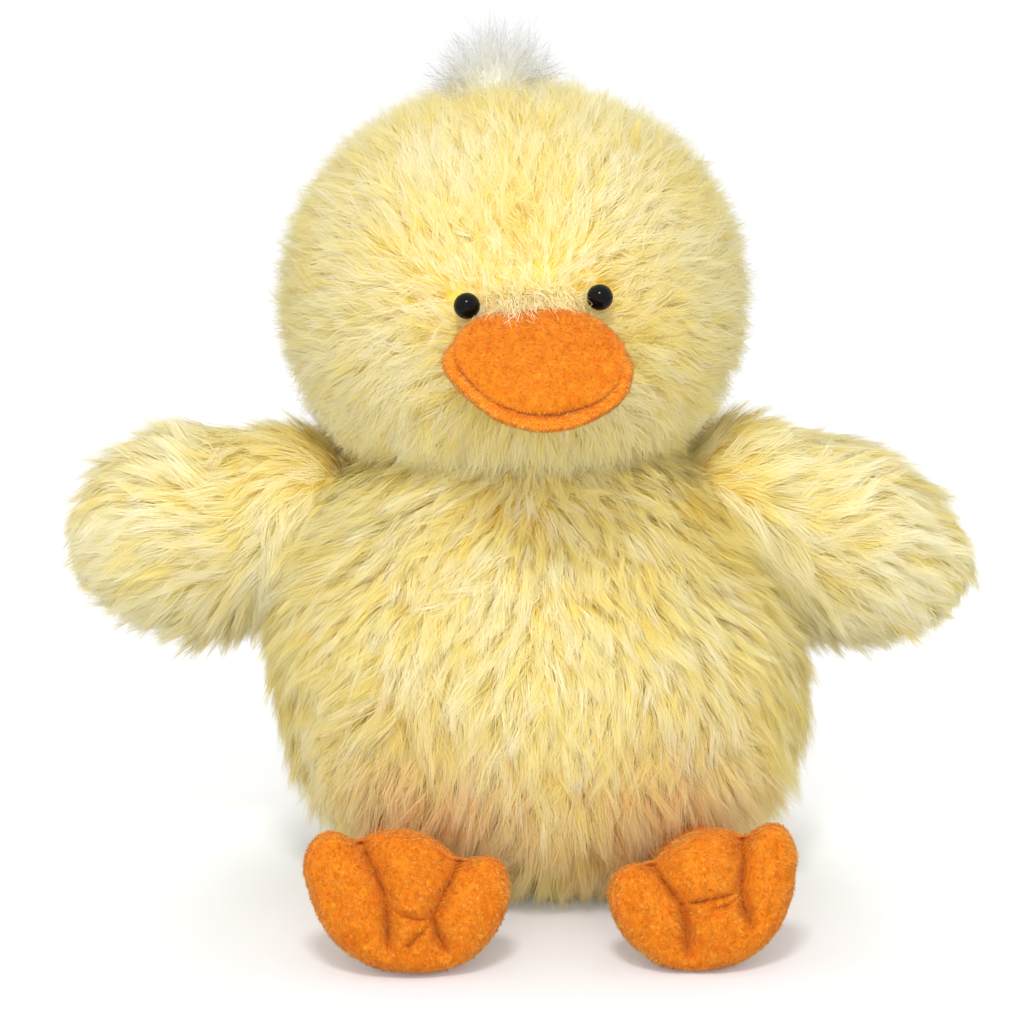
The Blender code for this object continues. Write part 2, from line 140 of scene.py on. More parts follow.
def distance_to_line(points: Array, line: list[tuple[float, float]]) -> tuple[Array, Array]:
    """How far flat points lie from a chain of straight stretches.

    Args:
        points: Flat points, one row each.
        line: The chain's corners.

    Returns:
        The distances, and how far along the chain its nearest place is, from 0 to 1.
    """
    corners = np.array(line)
    spans = np.linalg.norm(np.diff(corners, axis=0), axis=1)
    starts = np.concatenate([[0], np.cumsum(spans)])
    best = np.full(len(points), 1e9)
    where = np.zeros(len(points))
    for i in range(len(spans)):
        step = corners[i + 1] - corners[i]
        share = np.clip((points - corners[i]) @ step / spans[i] ** 2, 0, 1)
        gap = np.linalg.norm(points - corners[i] - share[:, None] * step, axis=1)
        nearer = gap < best
        best[nearer] = gap[nearer]
        where[nearer] = (starts[i] + share[nearer] * spans[i]) / starts[-1]
    return best, where


def placed(name: str, data: bpy.types.ID) -> bpy.types.Object:
    """Links a new object to the scene.

    Args:
        name: The object's name.
        data: Its mesh, lamp or camera.

    Returns:
        The object.
    """
    made = bpy.data.objects.new(name, data)
    bpy.context.scene.collection.objects.link(made)
    return made


@dataclass(frozen=True)
class Outline:
    """A closed outline round its own middle: corners in millimetres, smoothed into a curve."""

    corners: tuple[tuple[float, float], ...]
    soften: float = 2.5  # degrees
    steps: int = 720

    def radius(self, angle: Array) -> Array:
        """How far the outline is from its middle in each direction.

        Args:
            angle: Directions in radians, anticlockwise from +X.

        Returns:
            The distances in metres.
        """
        places = np.array(self.corners) / 1000
        turn = np.arctan2(places[:, 1], places[:, 0]) % math.tau
        order = np.argsort(turn)
        spots = np.arange(self.steps) * math.tau / self.steps
        far = np.interp(spots, turn[order], np.linalg.norm(places, axis=1)[order], period=math.tau)
        width = self.soften / 360 * self.steps
        shifts = range(-int(3 * width), int(3 * width) + 1)
        weights = [math.exp(-((shift / width) ** 2) / 2) for shift in shifts]
        soft = sum(weight * np.roll(far, shift) for weight, shift in zip(weights, shifts)) / sum(weights)
        return np.interp(angle % math.tau, spots, soft, period=math.tau)


@dataclass(frozen=True)
class Form:
    """A closed form: its points and its faces, of three or four corners each."""

    points: Array
    faces: list[tuple[int, ...]]

    def triangles(self) -> Whole:
        """The faces cut into triangles."""
        cut = [(f[0], f[i], f[i + 1]) for f in self.faces for i in range(1, len(f) - 1)]
        return np.array(cut)

    def normals(self) -> Array:
        """The outward direction at each point.

        Returns:
            A direction of length 1 for each point.
        """
        tri = self.triangles()
        a, b, c = (self.points[tri[:, k]] for k in range(3))
        across = np.cross(b - a, c - a)
        total = np.zeros_like(self.points)
        for k in range(3):
            np.add.at(total, tri[:, k], across)
        return unit(total)

    def mesh(self, name: str) -> bpy.types.Object:
        """A smooth-shaded object of the form, linked to the scene.

        Args:
            name: The object's name.

        Returns:
            The object.
        """
        data = bpy.data.meshes.new(name)
        data.from_pydata(self.points.tolist(), [], self.faces)
        data.shade_smooth()
        return placed(name, data)

    def scatter(self, per_area: float, rng: np.random.Generator) -> tuple[Array, Array]:
        """Places spread evenly over the form.

        Args:
            per_area: How many to a square metre.
            rng: The source of chance.

        Returns:
            The places, and the outward direction at each.
        """
        tri = self.triangles()
        a, b, c = (self.points[tri[:, k]] for k in range(3))
        areas = np.linalg.norm(np.cross(b - a, c - a), axis=1) / 2
        count = int(areas.sum() * per_area)
        picked = np.searchsorted(np.cumsum(areas) / areas.sum(), rng.random(count))
        root = np.sqrt(rng.random(count))
        other = rng.random(count)
        weights = np.stack([1 - root, root * (1 - other), root * other], axis=1)
        normals = self.normals()
        places = np.einsum("nk,nkd->nd", weights, self.points[tri[picked]])
        return places, unit(np.einsum("nk,nkd->nd", weights, normals[tri[picked]]))


def sphere_form(segments: int, rings: int, place: Place) -> Form:
    """A unit sphere with every point sent where place puts it.

    Args:
        segments: Divisions round the axis.
        rings: Divisions from pole to pole.
        place: Where the unit sphere's points go.

    Returns:
        The closed form.
    """
    level = np.arange(1, rings) * math.pi / rings
    turn = np.arange(segments) * math.tau / segments
    ring = np.stack(
        [
            np.outer(np.sin(level), np.cos(turn)),
            np.outer(np.sin(level), np.sin(turn)),
            np.outer(np.cos(level), np.ones(segments)),
        ],
        axis=-1,
    ).reshape(-1, 3)
    units = np.concatenate([[[0, 0, 1]], ring, [[0, 0, -1]]])
    last = len(units) - 1
    faces: list[tuple[int, ...]] = []
    for j in range(segments):
        k = (j + 1) % segments
        faces.append((0, 1 + j, 1 + k))
        faces.append((last, last - segments + k, last - segments + j))
        for i in range(rings - 2):
            low, high = 1 + i * segments, 1 + (i + 1) * segments
            faces.append((low + j, high + j, high + k, low + k))
    points = place(units)
    form = Form(points, faces)
    tri = form.triangles()
    volume = np.einsum("ij,ij->i", points[tri[:, 0]], np.cross(points[tri[:, 1]], points[tri[:, 2]])).sum()
    return form if volume > 0 else Form(points, [f[::-1] for f in faces])


@dataclass(frozen=True)
class Hairs:
    """Hairs as narrow ribbons: the middle line of each at its stations, its sides and its shade."""

    lines: Array  # hairs, stations, 3
    sides: Array  # hairs, 3: across the ribbon
    widths: Array
    shades: Array  # 0 to 1, which the finish turns into a colour
    facings: Array  # hairs, 3: the direction that each hair is lit from

    def part(self, chosen: Array) -> "Hairs":
        """The chosen hairs."""
        kept = (held[chosen] for held in (self.lines, self.sides, self.widths, self.shades, self.facings))
        return Hairs(*kept)

    def mesh(self, name: str) -> bpy.types.Object:
        """The ribbons as one object, with a map whose X is the shade and whose Y runs from root to tip.

        Args:
            name: The piece's name.

        Returns:
            The object, linked to the scene.
        """
        count, stations, _ = self.lines.shape
        rungs = stations - 1
        taper = 1 - 0.55 * (np.arange(rungs) / rungs) ** 1.6
        half = self.sides[:, None, :] * (self.widths[:, None] * taper / 2)[..., None]
        body = self.lines[:, :rungs]
        rails = np.stack([body - half, body + half], axis=2).reshape(count, -1, 3)
        points = np.concatenate([rails, self.lines[:, -1:]], axis=1).reshape(-1, 3)
        each = 2 * rungs + 1
        corners: list[int] = []
        starts: list[int] = []
        for i in range(rungs - 1):
            starts.append(len(corners))
            corners += [2 * i, 2 * i + 1, 2 * i + 3, 2 * i + 2]
        starts.append(len(corners))
        corners += [2 * rungs - 2, 2 * rungs - 1, 2 * rungs]
        pattern = np.array(corners)
        loops = (np.arange(count)[:, None] * each + pattern).ravel()
        loop_starts = (np.arange(count)[:, None] * len(corners) + np.array(starts)).ravel()
        steps = np.array([i // 2 for i in range(2 * rungs)] + [rungs]) / rungs
        aside = np.array([(-1, 1)[i % 2] for i in range(2 * rungs)] + [0]) * 0.002
        map_x = (self.shades[:, None] * 0.98 + 0.01 + aside)[:, pattern]
        map_y = np.broadcast_to(0.02 + 0.96 * steps, (count, each))[:, pattern]
        data = bpy.data.meshes.new(name)
        data.vertices.add(len(points))
        data.vertices.foreach_set("co", points.astype(np.float32).ravel())
        data.loops.add(len(loops))
        data.loops.foreach_set("vertex_index", loops.astype(np.int32))
        data.polygons.add(len(loop_starts))
        data.polygons.foreach_set("loop_start", loop_starts.astype(np.int32))
        data.update(calc_edges=True)
        layer = data.uv_layers.new(name="OFBake")
        layer.uv.foreach_set("vector", np.stack([map_x, map_y], axis=-1).astype(np.float32).ravel())
        data.shade_smooth()
        data.normals_split_custom_set_from_vertices(np.repeat(self.facings, each, axis=0).tolist())
        return placed(name, data)


@dataclass(frozen=True)
class Lie:
    """How the hairs of a form lie: a row or a value for each root."""

    flow: Array  # which way each hair is combed, along the surface
    reach: Array  # its length, as a share of the coat's
    rise: Array  # how much more or less upright it stands, as a share
    hang: Array  # how much more or less it droops, as a share
    shade: Array  # its shade before chance is added


@dataclass(frozen=True)
class Locks:
    """The locks that hairs gather in: a value for each hair."""

    leader: Whole  # the hair that leads its lock
    turn: Array  # degrees from the flow
    rise: Array
    length: Array
    shade: Array
    bend: Array  # radians


@dataclass(frozen=True)
class Coat:
    """How a pile grows: how long it is, how it lies and how it gathers in locks."""

    length: float
    width: float
    per_area: float  # hairs to a square metre
    rise_root: float = 52.0  # degrees above the surface
    rise_tip: float = 10.0
    uneven: float = 0.16  # how much lengths differ
    lock_hairs: int = 22  # hairs to a lock
    gather: float = 0.72
    swirl: float = 15.0  # degrees a lock may turn from the flow
    stray: float = 7.0  # degrees a hair may turn from its lock
    frizz: float = 0.06
    droop: float = 0.08
    twist: float = 28.0  # degrees a ribbon may tilt
    lock_tone: float = 0.06
    hair_tone: float = 0.07
    bend: float = 18.0  # degrees a lock may turn on its way
    wave: float = 20.0  # degrees that neighbouring locks turn together
    wave_size: float = 0.045
    floor_gap: float = 0.0006
    curl: float = 0.0
    curl_turns: float = 1.5
    own_facing: float = 0.25  # how much of its own way a hair faces, against its cloth's
    split: float = 1.0  # the highest tone of hair that isn't tinted orange; tones above it give the painted bounce light above the feet and the brow's peach
    stations: tuple[float, ...] = (0.0, 0.3, 0.64, 1.0)

    def grow(self, roots: Array, normals: Array, lie: Lie, seed: int) -> Hairs:
        """Grows a hair from each root.

        Args:
            roots: Where the hairs start.
            normals: The outward direction at each root.
            lie: How the hairs lie.
            seed: The source of chance.

        Returns:
            The hairs.
        """
        rng = np.random.default_rng(seed)
        locks = self.locks(roots, rng, seed)
        line, span = self.combed(roots, normals, lie, locks, rng)
        hold = self.gather * rng.uniform(0.6, 1.15, len(roots))[:, None]
        kink = unit(rng.normal(size=(len(roots), 3)))
        line = self.gathered(line, locks.leader, np.clip(hold, 0, 0.95), kink, span * self.frizz)
        if self.curl:
            line = self.curled(line, kink, np.cross(kink, normals), rng.uniform(0, math.tau, len(roots)))
        line[:, :, 2] = np.maximum(line[:, :, 2], self.floor_gap)
        return self.ribbons(line, normals, lie.shade, locks.shade, rng)

    def locks(self, roots: Array, rng: np.random.Generator, seed: int) -> Locks:
        """Shares the hairs out among locks, each round a leader.

        Args:
            roots: Where the hairs start.
            rng: The source of chance.
            seed: Which pattern the locks turn in.

        Returns:
            The locks.
        """
        leaders = rng.choice(len(roots), max(len(roots) // self.lock_hairs, 1), replace=False)
        tree = KDTree(len(leaders))
        for i, place in enumerate(roots[leaders]):
            tree.insert(place, i)
        tree.balance()
        lock = np.array([tree.find(place)[1] for place in roots])
        turn = rng.normal(size=len(leaders)) * self.swirl
        turn += self.wave * ripples(roots[leaders], self.wave_size, seed + 5)
        rise = rng.normal(size=len(leaders)) * 0.12
        length = 1 + rng.normal(size=len(leaders)) * self.uneven * 0.7
        shade = rng.normal(size=len(leaders)) * self.lock_tone
        bend = np.radians(rng.normal(size=len(leaders)) * self.bend)
        return Locks(leaders[lock], turn[lock], rise[lock], length[lock], shade[lock], bend[lock])

    def combed(
        self, roots: Array, normals: Array, lie: Lie, locks: Locks, rng: np.random.Generator
    ) -> tuple[Array, Array]:
        """Runs each hair from its root and bends it over along the flow.

        Args:
            roots: Where the hairs start.
            normals: The outward direction at each root.
            lie: How the hairs lie.
            locks: The locks that they are in.
            rng: The source of chance.

        Returns:
            Each hair's middle line at its stations, and its length.
        """
        turn = np.radians(locks.turn + rng.normal(size=len(roots)) * self.stray)
        across = np.cross(normals, lie.flow)
        reach = lie.reach * locks.length * (1 + rng.normal(size=len(roots)) * self.uneven)
        span = self.length * np.clip(reach, 0.2, 1.6)
        lift = np.clip(lie.rise * (1 + locks.rise + rng.normal(size=len(roots)) * 0.1), 0.1, 2.0)
        line = np.empty((len(roots), len(self.stations), 3))
        line[:, 0] = roots
        for k in range(1, len(self.stations)):
            middle = (self.stations[k] + self.stations[k - 1]) / 2
            way = (turn + locks.bend * (middle - 0.4) * 2)[:, None]
            comb = lie.flow * np.cos(way) + across * np.sin(way)
            risen = self.rise_root + (self.rise_tip - self.rise_root) * middle
            angle = np.radians(np.clip(risen * lift, -10, 88))
            direction = normals * np.sin(angle)[:, None] + comb * np.cos(angle)[:, None]
            direction[:, 2] -= self.droop * middle * lie.hang
            step = span * (self.stations[k] - self.stations[k - 1])
            line[:, k] = line[:, k - 1] + unit(direction) * step[:, None]
        return line, span

    def gathered(self, path: Array, leader: Whole, hold: Array, kink: Array, frizz: Array) -> Array:
        """Draws the hairs of each lock together towards their tips, and bends each a little its own way.

        Args:
            path: The hairs' middle lines.
            leader: The hair that leads each hair's lock.
            hold: How much each hair is drawn to its leader.
            kink: Which way each hair bends aside.
            frizz: How far it bends at its tip.

        Returns:
            The new middle lines.
        """
        line = path.copy()
        roots = path[:, 0]
        for k in range(1, len(self.stations)):
            pull = self.stations[k] ** 1.1
            target = path[leader, k] + (roots - roots[leader]) * (1 - 0.85 * pull)
            line[:, k] += hold * pull * (target - line[:, k])
            bend = kink if k % 2 else np.roll(kink, 1, axis=0)
            line[:, k] += bend * (frizz * self.stations[k])[:, None]
        return line

    def curled(self, line: Array, first: Array, other: Array, phase: Array) -> Array:
        """Winds each hair into a curl.

        Args:
            line: The hairs' middle lines.
            first: One direction across each curl.
            other: The other direction across it.
            phase: Where each curl starts, in radians.

        Returns:
            The new middle lines.
        """
        for k in range(1, len(self.stations)):
            angle = phase + self.curl_turns * math.tau * self.stations[k]
            wave = (np.cos(angle) - np.cos(phase))[:, None] * first
            wave = wave + (np.sin(angle) - np.sin(phase))[:, None] * other
            line[:, k] += wave * self.curl * min(1.0, 2 * self.stations[k])
        return line

    def ribbons(
        self, line: Array, normals: Array, shade: Array, lock_shade: Array, rng: np.random.Generator
    ) -> Hairs:
        """Gives each hair its width, its tilt, its tone and the direction that it is lit from.

        Args:
            line: The hairs' middle lines.
            normals: The outward direction at each root.
            shade: The shade at each root.
            lock_shade: What each hair's lock adds to it.
            rng: The source of chance.

        Returns:
            The hairs.
        """
        overall = unit(line[:, -1] - line[:, 0])
        side = unit(np.cross(overall, normals))
        facing = np.cross(side, overall)
        tilt = np.radians(rng.normal(size=len(line)) * self.twist)[:, None]
        side = side * np.cos(tilt) + facing * np.sin(tilt)
        widths = self.width * rng.uniform(0.7, 1.3, len(line))
        tone = shade + lock_shade + rng.normal(size=len(line)) * self.hair_tone
        plain = np.minimum(tone, self.split)
        tone = np.clip(np.where(shade > self.split, np.maximum(tone, self.split + 0.06), plain), 0, 1)
        own = unit(np.cross(side, overall))
        own *= np.where(np.sum(own * normals, axis=1) < 0, -1, 1)[:, None]
        return Hairs(line, side, widths, tone, unit(normals * (1 - self.own_facing) + own * self.own_facing))


def socket(shader: bpy.types.Node, name: str, value: float | Colour) -> None:
    """Sets a number or a colour on a shader's socket."""
    shader.inputs[name].default_value = (*value, 1.0) if isinstance(value, tuple) else value


def ramp(tree: bpy.types.NodeTree, stops: tuple[tuple[float, Colour], ...]) -> bpy.types.Node:
    """A colour ramp with these stops.

    Args:
        tree: The material's nodes.
        stops: Places from 0 to 1 and the colour at each.

    Returns:
        The ramp's node.
    """
    node = tree.nodes.new("ShaderNodeValToRGB")
    band = node.color_ramp
    while len(band.elements) > 1:
        band.elements.remove(band.elements[-1])
    band.elements[0].position, band.elements[0].color = stops[0][0], (*stops[0][1], 1)
    for place, colour in stops[1:]:
        band.elements.new(place).color = (*colour, 1)
    return node


def ranged(
    tree: bpy.types.NodeTree,
    value: bpy.types.NodeSocket,
    start: tuple[float, float],
    end: tuple[float, float],
) -> bpy.types.NodeSocket:
    """Turns a value from one range into another, eased at both ends.

    Args:
        tree: The material's or world's nodes.
        value: The value.
        start: The range that it comes in.
        end: The range that it goes out in.

    Returns:
        The turned value.
    """
    node = tree.nodes.new("ShaderNodeMapRange")
    node.interpolation_type = "SMOOTHSTEP"
    for name, bound in zip(("From Min", "From Max", "To Min", "To Max"), (*start, *end)):
        node.inputs[name].default_value = bound
    tree.links.new(value, node.inputs["Value"])
    return node.outputs["Result"]


def computed(
    tree: bpy.types.NodeTree, operation: str, first: bpy.types.NodeSocket, other: bpy.types.NodeSocket
) -> bpy.types.NodeSocket:
    """One sum of two values, as a node.

    Args:
        tree: The material's or world's nodes.
        operation: Which sum.
        first: The first value.
        other: The second value.

    Returns:
        What it comes to.
    """
    node = tree.nodes.new("ShaderNodeMath")
    node.operation = operation
    tree.links.new(first, node.inputs[0])
    tree.links.new(other, node.inputs[1])
    return node.outputs[0]


def new_material(name: str) -> tuple[bpy.types.Material, bpy.types.NodeTree, bpy.types.Node]:
    """A new material.

    Args:
        name: Its name.

    Returns:
        The material, its nodes and its main shader.
    """
    made = bpy.data.materials.new(name)
    made.use_nodes = True
    return made, made.node_tree, made.node_tree.nodes["Principled BSDF"]


@dataclass(frozen=True)
class HairFinish:
    """The colour of hairs from root to tip, for each shade."""

    name: str
    roots: tuple[tuple[float, Colour], ...]
    tips: tuple[tuple[float, Colour], ...]
    roughness: float = 0.6
    specular: float = 0.25
    turn_share: float = 0.45  # where along the hair its tip's colour has come in
    through: float = 0.35  # the share of light that passes through
    sheen: float = 0.0
    sheen_tint: Colour = (1.0, 1.0, 1.0)

    def dress(self, piece: bpy.types.Object) -> None:
        """Gives the piece this finish."""
        made = bpy.data.materials.get(self.name) or self.make()
        piece.data.materials.append(made)

    def make(self) -> bpy.types.Material:
        """Makes the material.

        Returns:
            The material.
        """
        made, tree, shader = new_material(self.name)
        where = tree.nodes.new("ShaderNodeUVMap")
        where.uv_map = "OFBake"
        split = tree.nodes.new("ShaderNodeSeparateXYZ")
        tree.links.new(where.outputs["UV"], split.inputs[0])
        low = ramp(tree, self.roots)
        high = ramp(tree, self.tips)
        tree.links.new(split.outputs["X"], low.inputs["Fac"])
        tree.links.new(split.outputs["X"], high.inputs["Fac"])
        rise = ranged(tree, split.outputs["Y"], (0.0, self.turn_share * 2), (0.0, 1.0))
        blend = tree.nodes.new("ShaderNodeMix")
        blend.data_type = "RGBA"
        tree.links.new(rise, blend.inputs["Factor"])
        tree.links.new(low.outputs["Color"], blend.inputs["A"])
        tree.links.new(high.outputs["Color"], blend.inputs["B"])
        tree.links.new(blend.outputs["Result"], shader.inputs["Base Color"])
        socket(shader, "Roughness", self.roughness)
        socket(shader, "Specular IOR Level", self.specular)
        socket(shader, "Sheen Weight", self.sheen)
        socket(shader, "Sheen Tint", self.sheen_tint)
        passed = tree.nodes.new("ShaderNodeBsdfTranslucent")
        tree.links.new(blend.outputs["Result"], passed.inputs["Color"])
        both = tree.nodes.new("ShaderNodeMixShader")
        both.inputs[0].default_value = self.through
        tree.links.new(shader.outputs["BSDF"], both.inputs[1])
        tree.links.new(passed.outputs["BSDF"], both.inputs[2])
        tree.links.new(both.outputs["Shader"], tree.nodes["Material Output"].inputs["Surface"])
        return made


@dataclass(frozen=True)
class ClothFinish:
    """A cloth or a moulded face: two colours mixed in grains of one size, with bumps of another."""

    name: str
    dark: Colour
    pale: Colour
    grain: float  # metres
    bump_grain: float
    bump: float = 0.3
    roughness: float = 0.9
    sheen: float = 0.0
    coat: float = 0.0
    specular: float = 0.3

    def dress(self, piece: bpy.types.Object) -> None:
        """Gives the piece this finish in place of what it had.

        Args:
            piece: The piece.
        """
        made = bpy.data.materials.get(self.name) or self.make()
        piece.data.materials.clear()
        piece.data.materials.append(made)

    def make(self) -> bpy.types.Material:
        """Makes the material.

        Returns:
            The material.
        """
        made, tree, shader = new_material(self.name)
        place = tree.nodes.new("ShaderNodeTexCoord")
        mottle = tree.nodes.new("ShaderNodeTexNoise")
        mottle.inputs["Scale"].default_value = 1 / self.grain
        mottle.inputs["Detail"].default_value = 4
        tree.links.new(place.outputs["Object"], mottle.inputs["Vector"])
        band = ramp(tree, ((0.32, self.dark), (0.68, self.pale)))
        tree.links.new(mottle.outputs["Fac"], band.inputs["Fac"])
        tree.links.new(band.outputs["Color"], shader.inputs["Base Color"])
        fine = tree.nodes.new("ShaderNodeTexNoise")
        fine.inputs["Scale"].default_value = 1 / self.bump_grain
        fine.inputs["Detail"].default_value = 3
        tree.links.new(place.outputs["Object"], fine.inputs["Vector"])
        bump = tree.nodes.new("ShaderNodeBump")
        bump.inputs["Strength"].default_value = self.bump
        bump.inputs["Distance"].default_value = self.bump_grain / 2
        tree.links.new(fine.outputs["Fac"], bump.inputs["Height"])
        tree.links.new(bump.outputs["Normal"], shader.inputs["Normal"])
        socket(shader, "Roughness", self.roughness)
        socket(shader, "Sheen Weight", self.sheen)
        socket(shader, "Coat Weight", self.coat)
        socket(shader, "Specular IOR Level", self.specular)
        return made


FUR = HairFinish(
    name="pale_yellow_fur",
    # roots deeper and more golden than the tips: painted shade for the depth of the coat
    roots=(
        (0.0, (0.99, 0.62, 0.06)),
        (0.35, (0.998, 0.81, 0.17)),
        (0.66, (0.998, 0.89, 0.32)),
        # from 0.72 up, orange tones: the painted bounce light above the feet, and the brow's peach wisps
        (0.72, (0.998, 0.70, 0.22)),
        (1.0, (0.99, 0.52, 0.11)),
    ),
    tips=(
        (0.0, (0.99, 0.80, 0.20)),
        (0.35, (0.998, 0.91, 0.42)),
        (0.66, (0.998, 0.965, 0.78)),
        # from 0.72 up, orange tones, as in the roots
        (0.72, (0.998, 0.86, 0.52)),
        (1.0, (0.99, 0.66, 0.27)),
    ),
    specular=0.06,
    through=0.42,
)
TUFT = HairFinish(
    name="white_tuft_fur",
    roots=((0.0, (0.99, 0.96, 0.80)), (1.0, (0.99, 0.98, 0.90))),
    tips=((0.0, (0.99, 0.99, 0.99)), (1.0, (0.995, 0.995, 0.995))),
    specular=0.05,
    through=0.7,
)
NAP = HairFinish(
    name="orange_velour_nap",
    roots=((0.0, (0.62, 0.13, 0.004)), (0.5, (0.72, 0.21, 0.008)), (1.0, (0.84, 0.36, 0.03))),
    tips=((0.0, (0.64, 0.15, 0.004)), (0.5, (0.77, 0.29, 0.018)), (1.0, (0.96, 0.56, 0.11))),
    turn_share=0.28,
    specular=0.05,
    through=0.3,
    sheen=1.0,
    sheen_tint=(1.0, 0.68, 0.27),
)
BACKING = ClothFinish("fur_backing", (0.99, 0.64, 0.08), (0.99, 0.74, 0.15), 0.006, 0.001, specular=0.05)
TUFT_MOUND = ClothFinish("tuft_backing", (0.95, 0.93, 0.86), (0.97, 0.96, 0.94), 0.004, 0.0006)
VELOUR = ClothFinish(
    "orange_velour", (0.64, 0.15, 0.005), (0.74, 0.23, 0.012), 0.004, 0.0006, sheen=0.1, specular=0.05
)
FILLING = ClothFinish("polyester_filling", (0.74, 0.74, 0.71), (0.90, 0.90, 0.88), 0.003, 0.0012, bump=0.6)
PELLET_BAG = ClothFinish("pellet_bag_cloth", (0.62, 0.60, 0.52), (0.80, 0.78, 0.70), 0.002, 0.003, bump=0.8)
WASHER = ClothFinish(
    "washer_plastic", (0.62, 0.62, 0.60), (0.74, 0.74, 0.72), 0.002, 0.0004, bump=0.05, roughness=0.4
)
GLOSS = ClothFinish(
    "black_gloss",
    (0.001, 0.001, 0.001),
    (0.003, 0.003, 0.003),
    0.004,
    0.003,
    bump=0.002,
    roughness=0.02,
    specular=0.16,
)


@dataclass
class Studio:
    """A pale floor, soft lamps and the camera."""

    target: Vector = field(default_factory=lambda: Vector((-0.0094, 0.0, 0.1295)))
    distance: float = 1.12
    azimuth: float = -2.8
    elevation: float = 12.0
    lens: float = 109.0
    sensor: float = 36.0
    floor_size: float = 60.0
    shadow_middle: tuple[float, float, float] = (-0.009, -0.10, 0.0)
    painted_glow_reach: tuple[float, float] = (0.10, 0.21)  # where the floor's painted glow starts and where it is full, hiding the duck's shadow
    shadow_lift: tuple[float, float] = (0.11, 0.42)  # how much the floor glows for the camera, there
    sky_level: float = 0.75  # what lights the duck, where the camera sees 1

    def build(self) -> None:
        """Builds the floor, the lamps, the sky and the camera."""
        scene = bpy.context.scene
        scene.view_settings.view_transform = "Standard"
        self.floor()
        self.sky()
        self.lamp("key", 0.26, 1.25, azimuth=-7, elevation=48, power=6.5)
        self.lamp("front", 1.8, 2.0, azimuth=-3, elevation=12, power=21.0).visible_glossy = False
        data = bpy.data.cameras.new("camera")
        data.lens = self.lens
        data.sensor_width = self.sensor
        scene.camera = placed("camera", data)
        self.aim(scene.camera, self.distance, self.azimuth, self.elevation)

    def aim(self, thing: bpy.types.Object, away: float, azimuth: float, elevation: float) -> None:
        """Puts a lamp or the camera in its place, facing the duck.

        Args:
            thing: The lamp or camera.
            away: How far it is from the duck.
            azimuth: Its side in degrees, where 0 is in front.
            elevation: Its height in degrees.
        """
        turn, rise = math.radians(azimuth), math.radians(elevation)
        back = Vector((math.sin(turn) * math.cos(rise), -math.cos(turn) * math.cos(rise), math.sin(rise)))
        thing.location = self.target + back * away
        thing.rotation_mode = "QUATERNION"
        thing.rotation_quaternion = (-back).to_track_quat("-Z", "Y")

    def lamp(
        self, name: str, size: float, away: float, azimuth: float, elevation: float, power: float
    ) -> bpy.types.Object:
        """Hangs a round soft lamp that faces the duck.

        Args:
            name: The lamp's name.
            size: Its diameter.
            away: How far it is from the duck.
            azimuth: Its side in degrees, where 0 is in front.
            elevation: Its height in degrees.
            power: Its power in watts.

        Returns:
            The lamp.
        """
        data = bpy.data.lights.new(name, "AREA")
        data.shape = "DISK"
        data.size = size
        data.energy = power
        lamp = placed(name, data)
        self.aim(lamp, away, azimuth, elevation)
        return lamp

    def floor(self) -> None:
        """Lays a white floor that keeps the duck's shadow near its feet, and further out glows for the
        camera, a painted light that hides it.
        """
        half = self.floor_size / 2
        data = bpy.data.meshes.new("floor")
        corners = [(-half, -half, 0), (half, -half, 0), (half, half, 0), (-half, half, 0)]
        data.from_pydata(corners, [], [(0, 1, 2, 3)])
        floor = placed("floor", data)
        made, tree, shader = new_material("white_floor")
        socket(shader, "Base Color", (0.80, 0.81, 0.82))
        socket(shader, "Roughness", 0.9)
        socket(shader, "Specular IOR Level", 0.1)
        socket(shader, "Emission Color", (1.0, 1.0, 1.0))
        place = tree.nodes.new("ShaderNodeTexCoord")
        away = tree.nodes.new("ShaderNodeVectorMath")
        away.operation = "DISTANCE"
        away.inputs[1].default_value = self.shadow_middle
        tree.links.new(place.outputs["Object"], away.inputs[0])
        fade = ranged(tree, away.outputs["Value"], self.painted_glow_reach, self.shadow_lift)
        path = tree.nodes.new("ShaderNodeLightPath")
        lift = computed(tree, "MULTIPLY", path.outputs["Is Camera Ray"], fade)
        tree.links.new(lift, shader.inputs["Emission Strength"])
        data.materials.append(made)

    def sky(self) -> None:
        """Surrounds the duck with soft light, and shows white behind it."""
        world = bpy.data.worlds.new("studio")
        bpy.context.scene.world = world
        world.use_nodes = True
        tree = world.node_tree
        light = tree.nodes["Background"]
        path = tree.nodes.new("ShaderNodeLightPath")
        seen = computed(tree, "MAXIMUM", path.outputs["Is Camera Ray"], path.outputs["Is Glossy Ray"])
        seen = computed(tree, "MAXIMUM", seen, path.outputs["Is Transmission Ray"])
        tree.links.new(ranged(tree, seen, (0.0, 1.0), (self.sky_level, 1.0)), light.inputs["Strength"])
        light.inputs["Color"].default_value = (1, 1, 1, 1)


def seated(
    piece: bpy.types.Object, body: str, stands_for: tuple[str, ...] = ()
) -> None:
    """Puts a piece on its body and says what it is.

    Args:
        piece: The piece.
        body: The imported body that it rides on.
        stands_for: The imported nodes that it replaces.
    """
    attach(piece, body)
    if stands_for:
        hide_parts(*stands_for)
    log.info("%s: %d faces on %s", piece.name, len(piece.data.polygons), body)


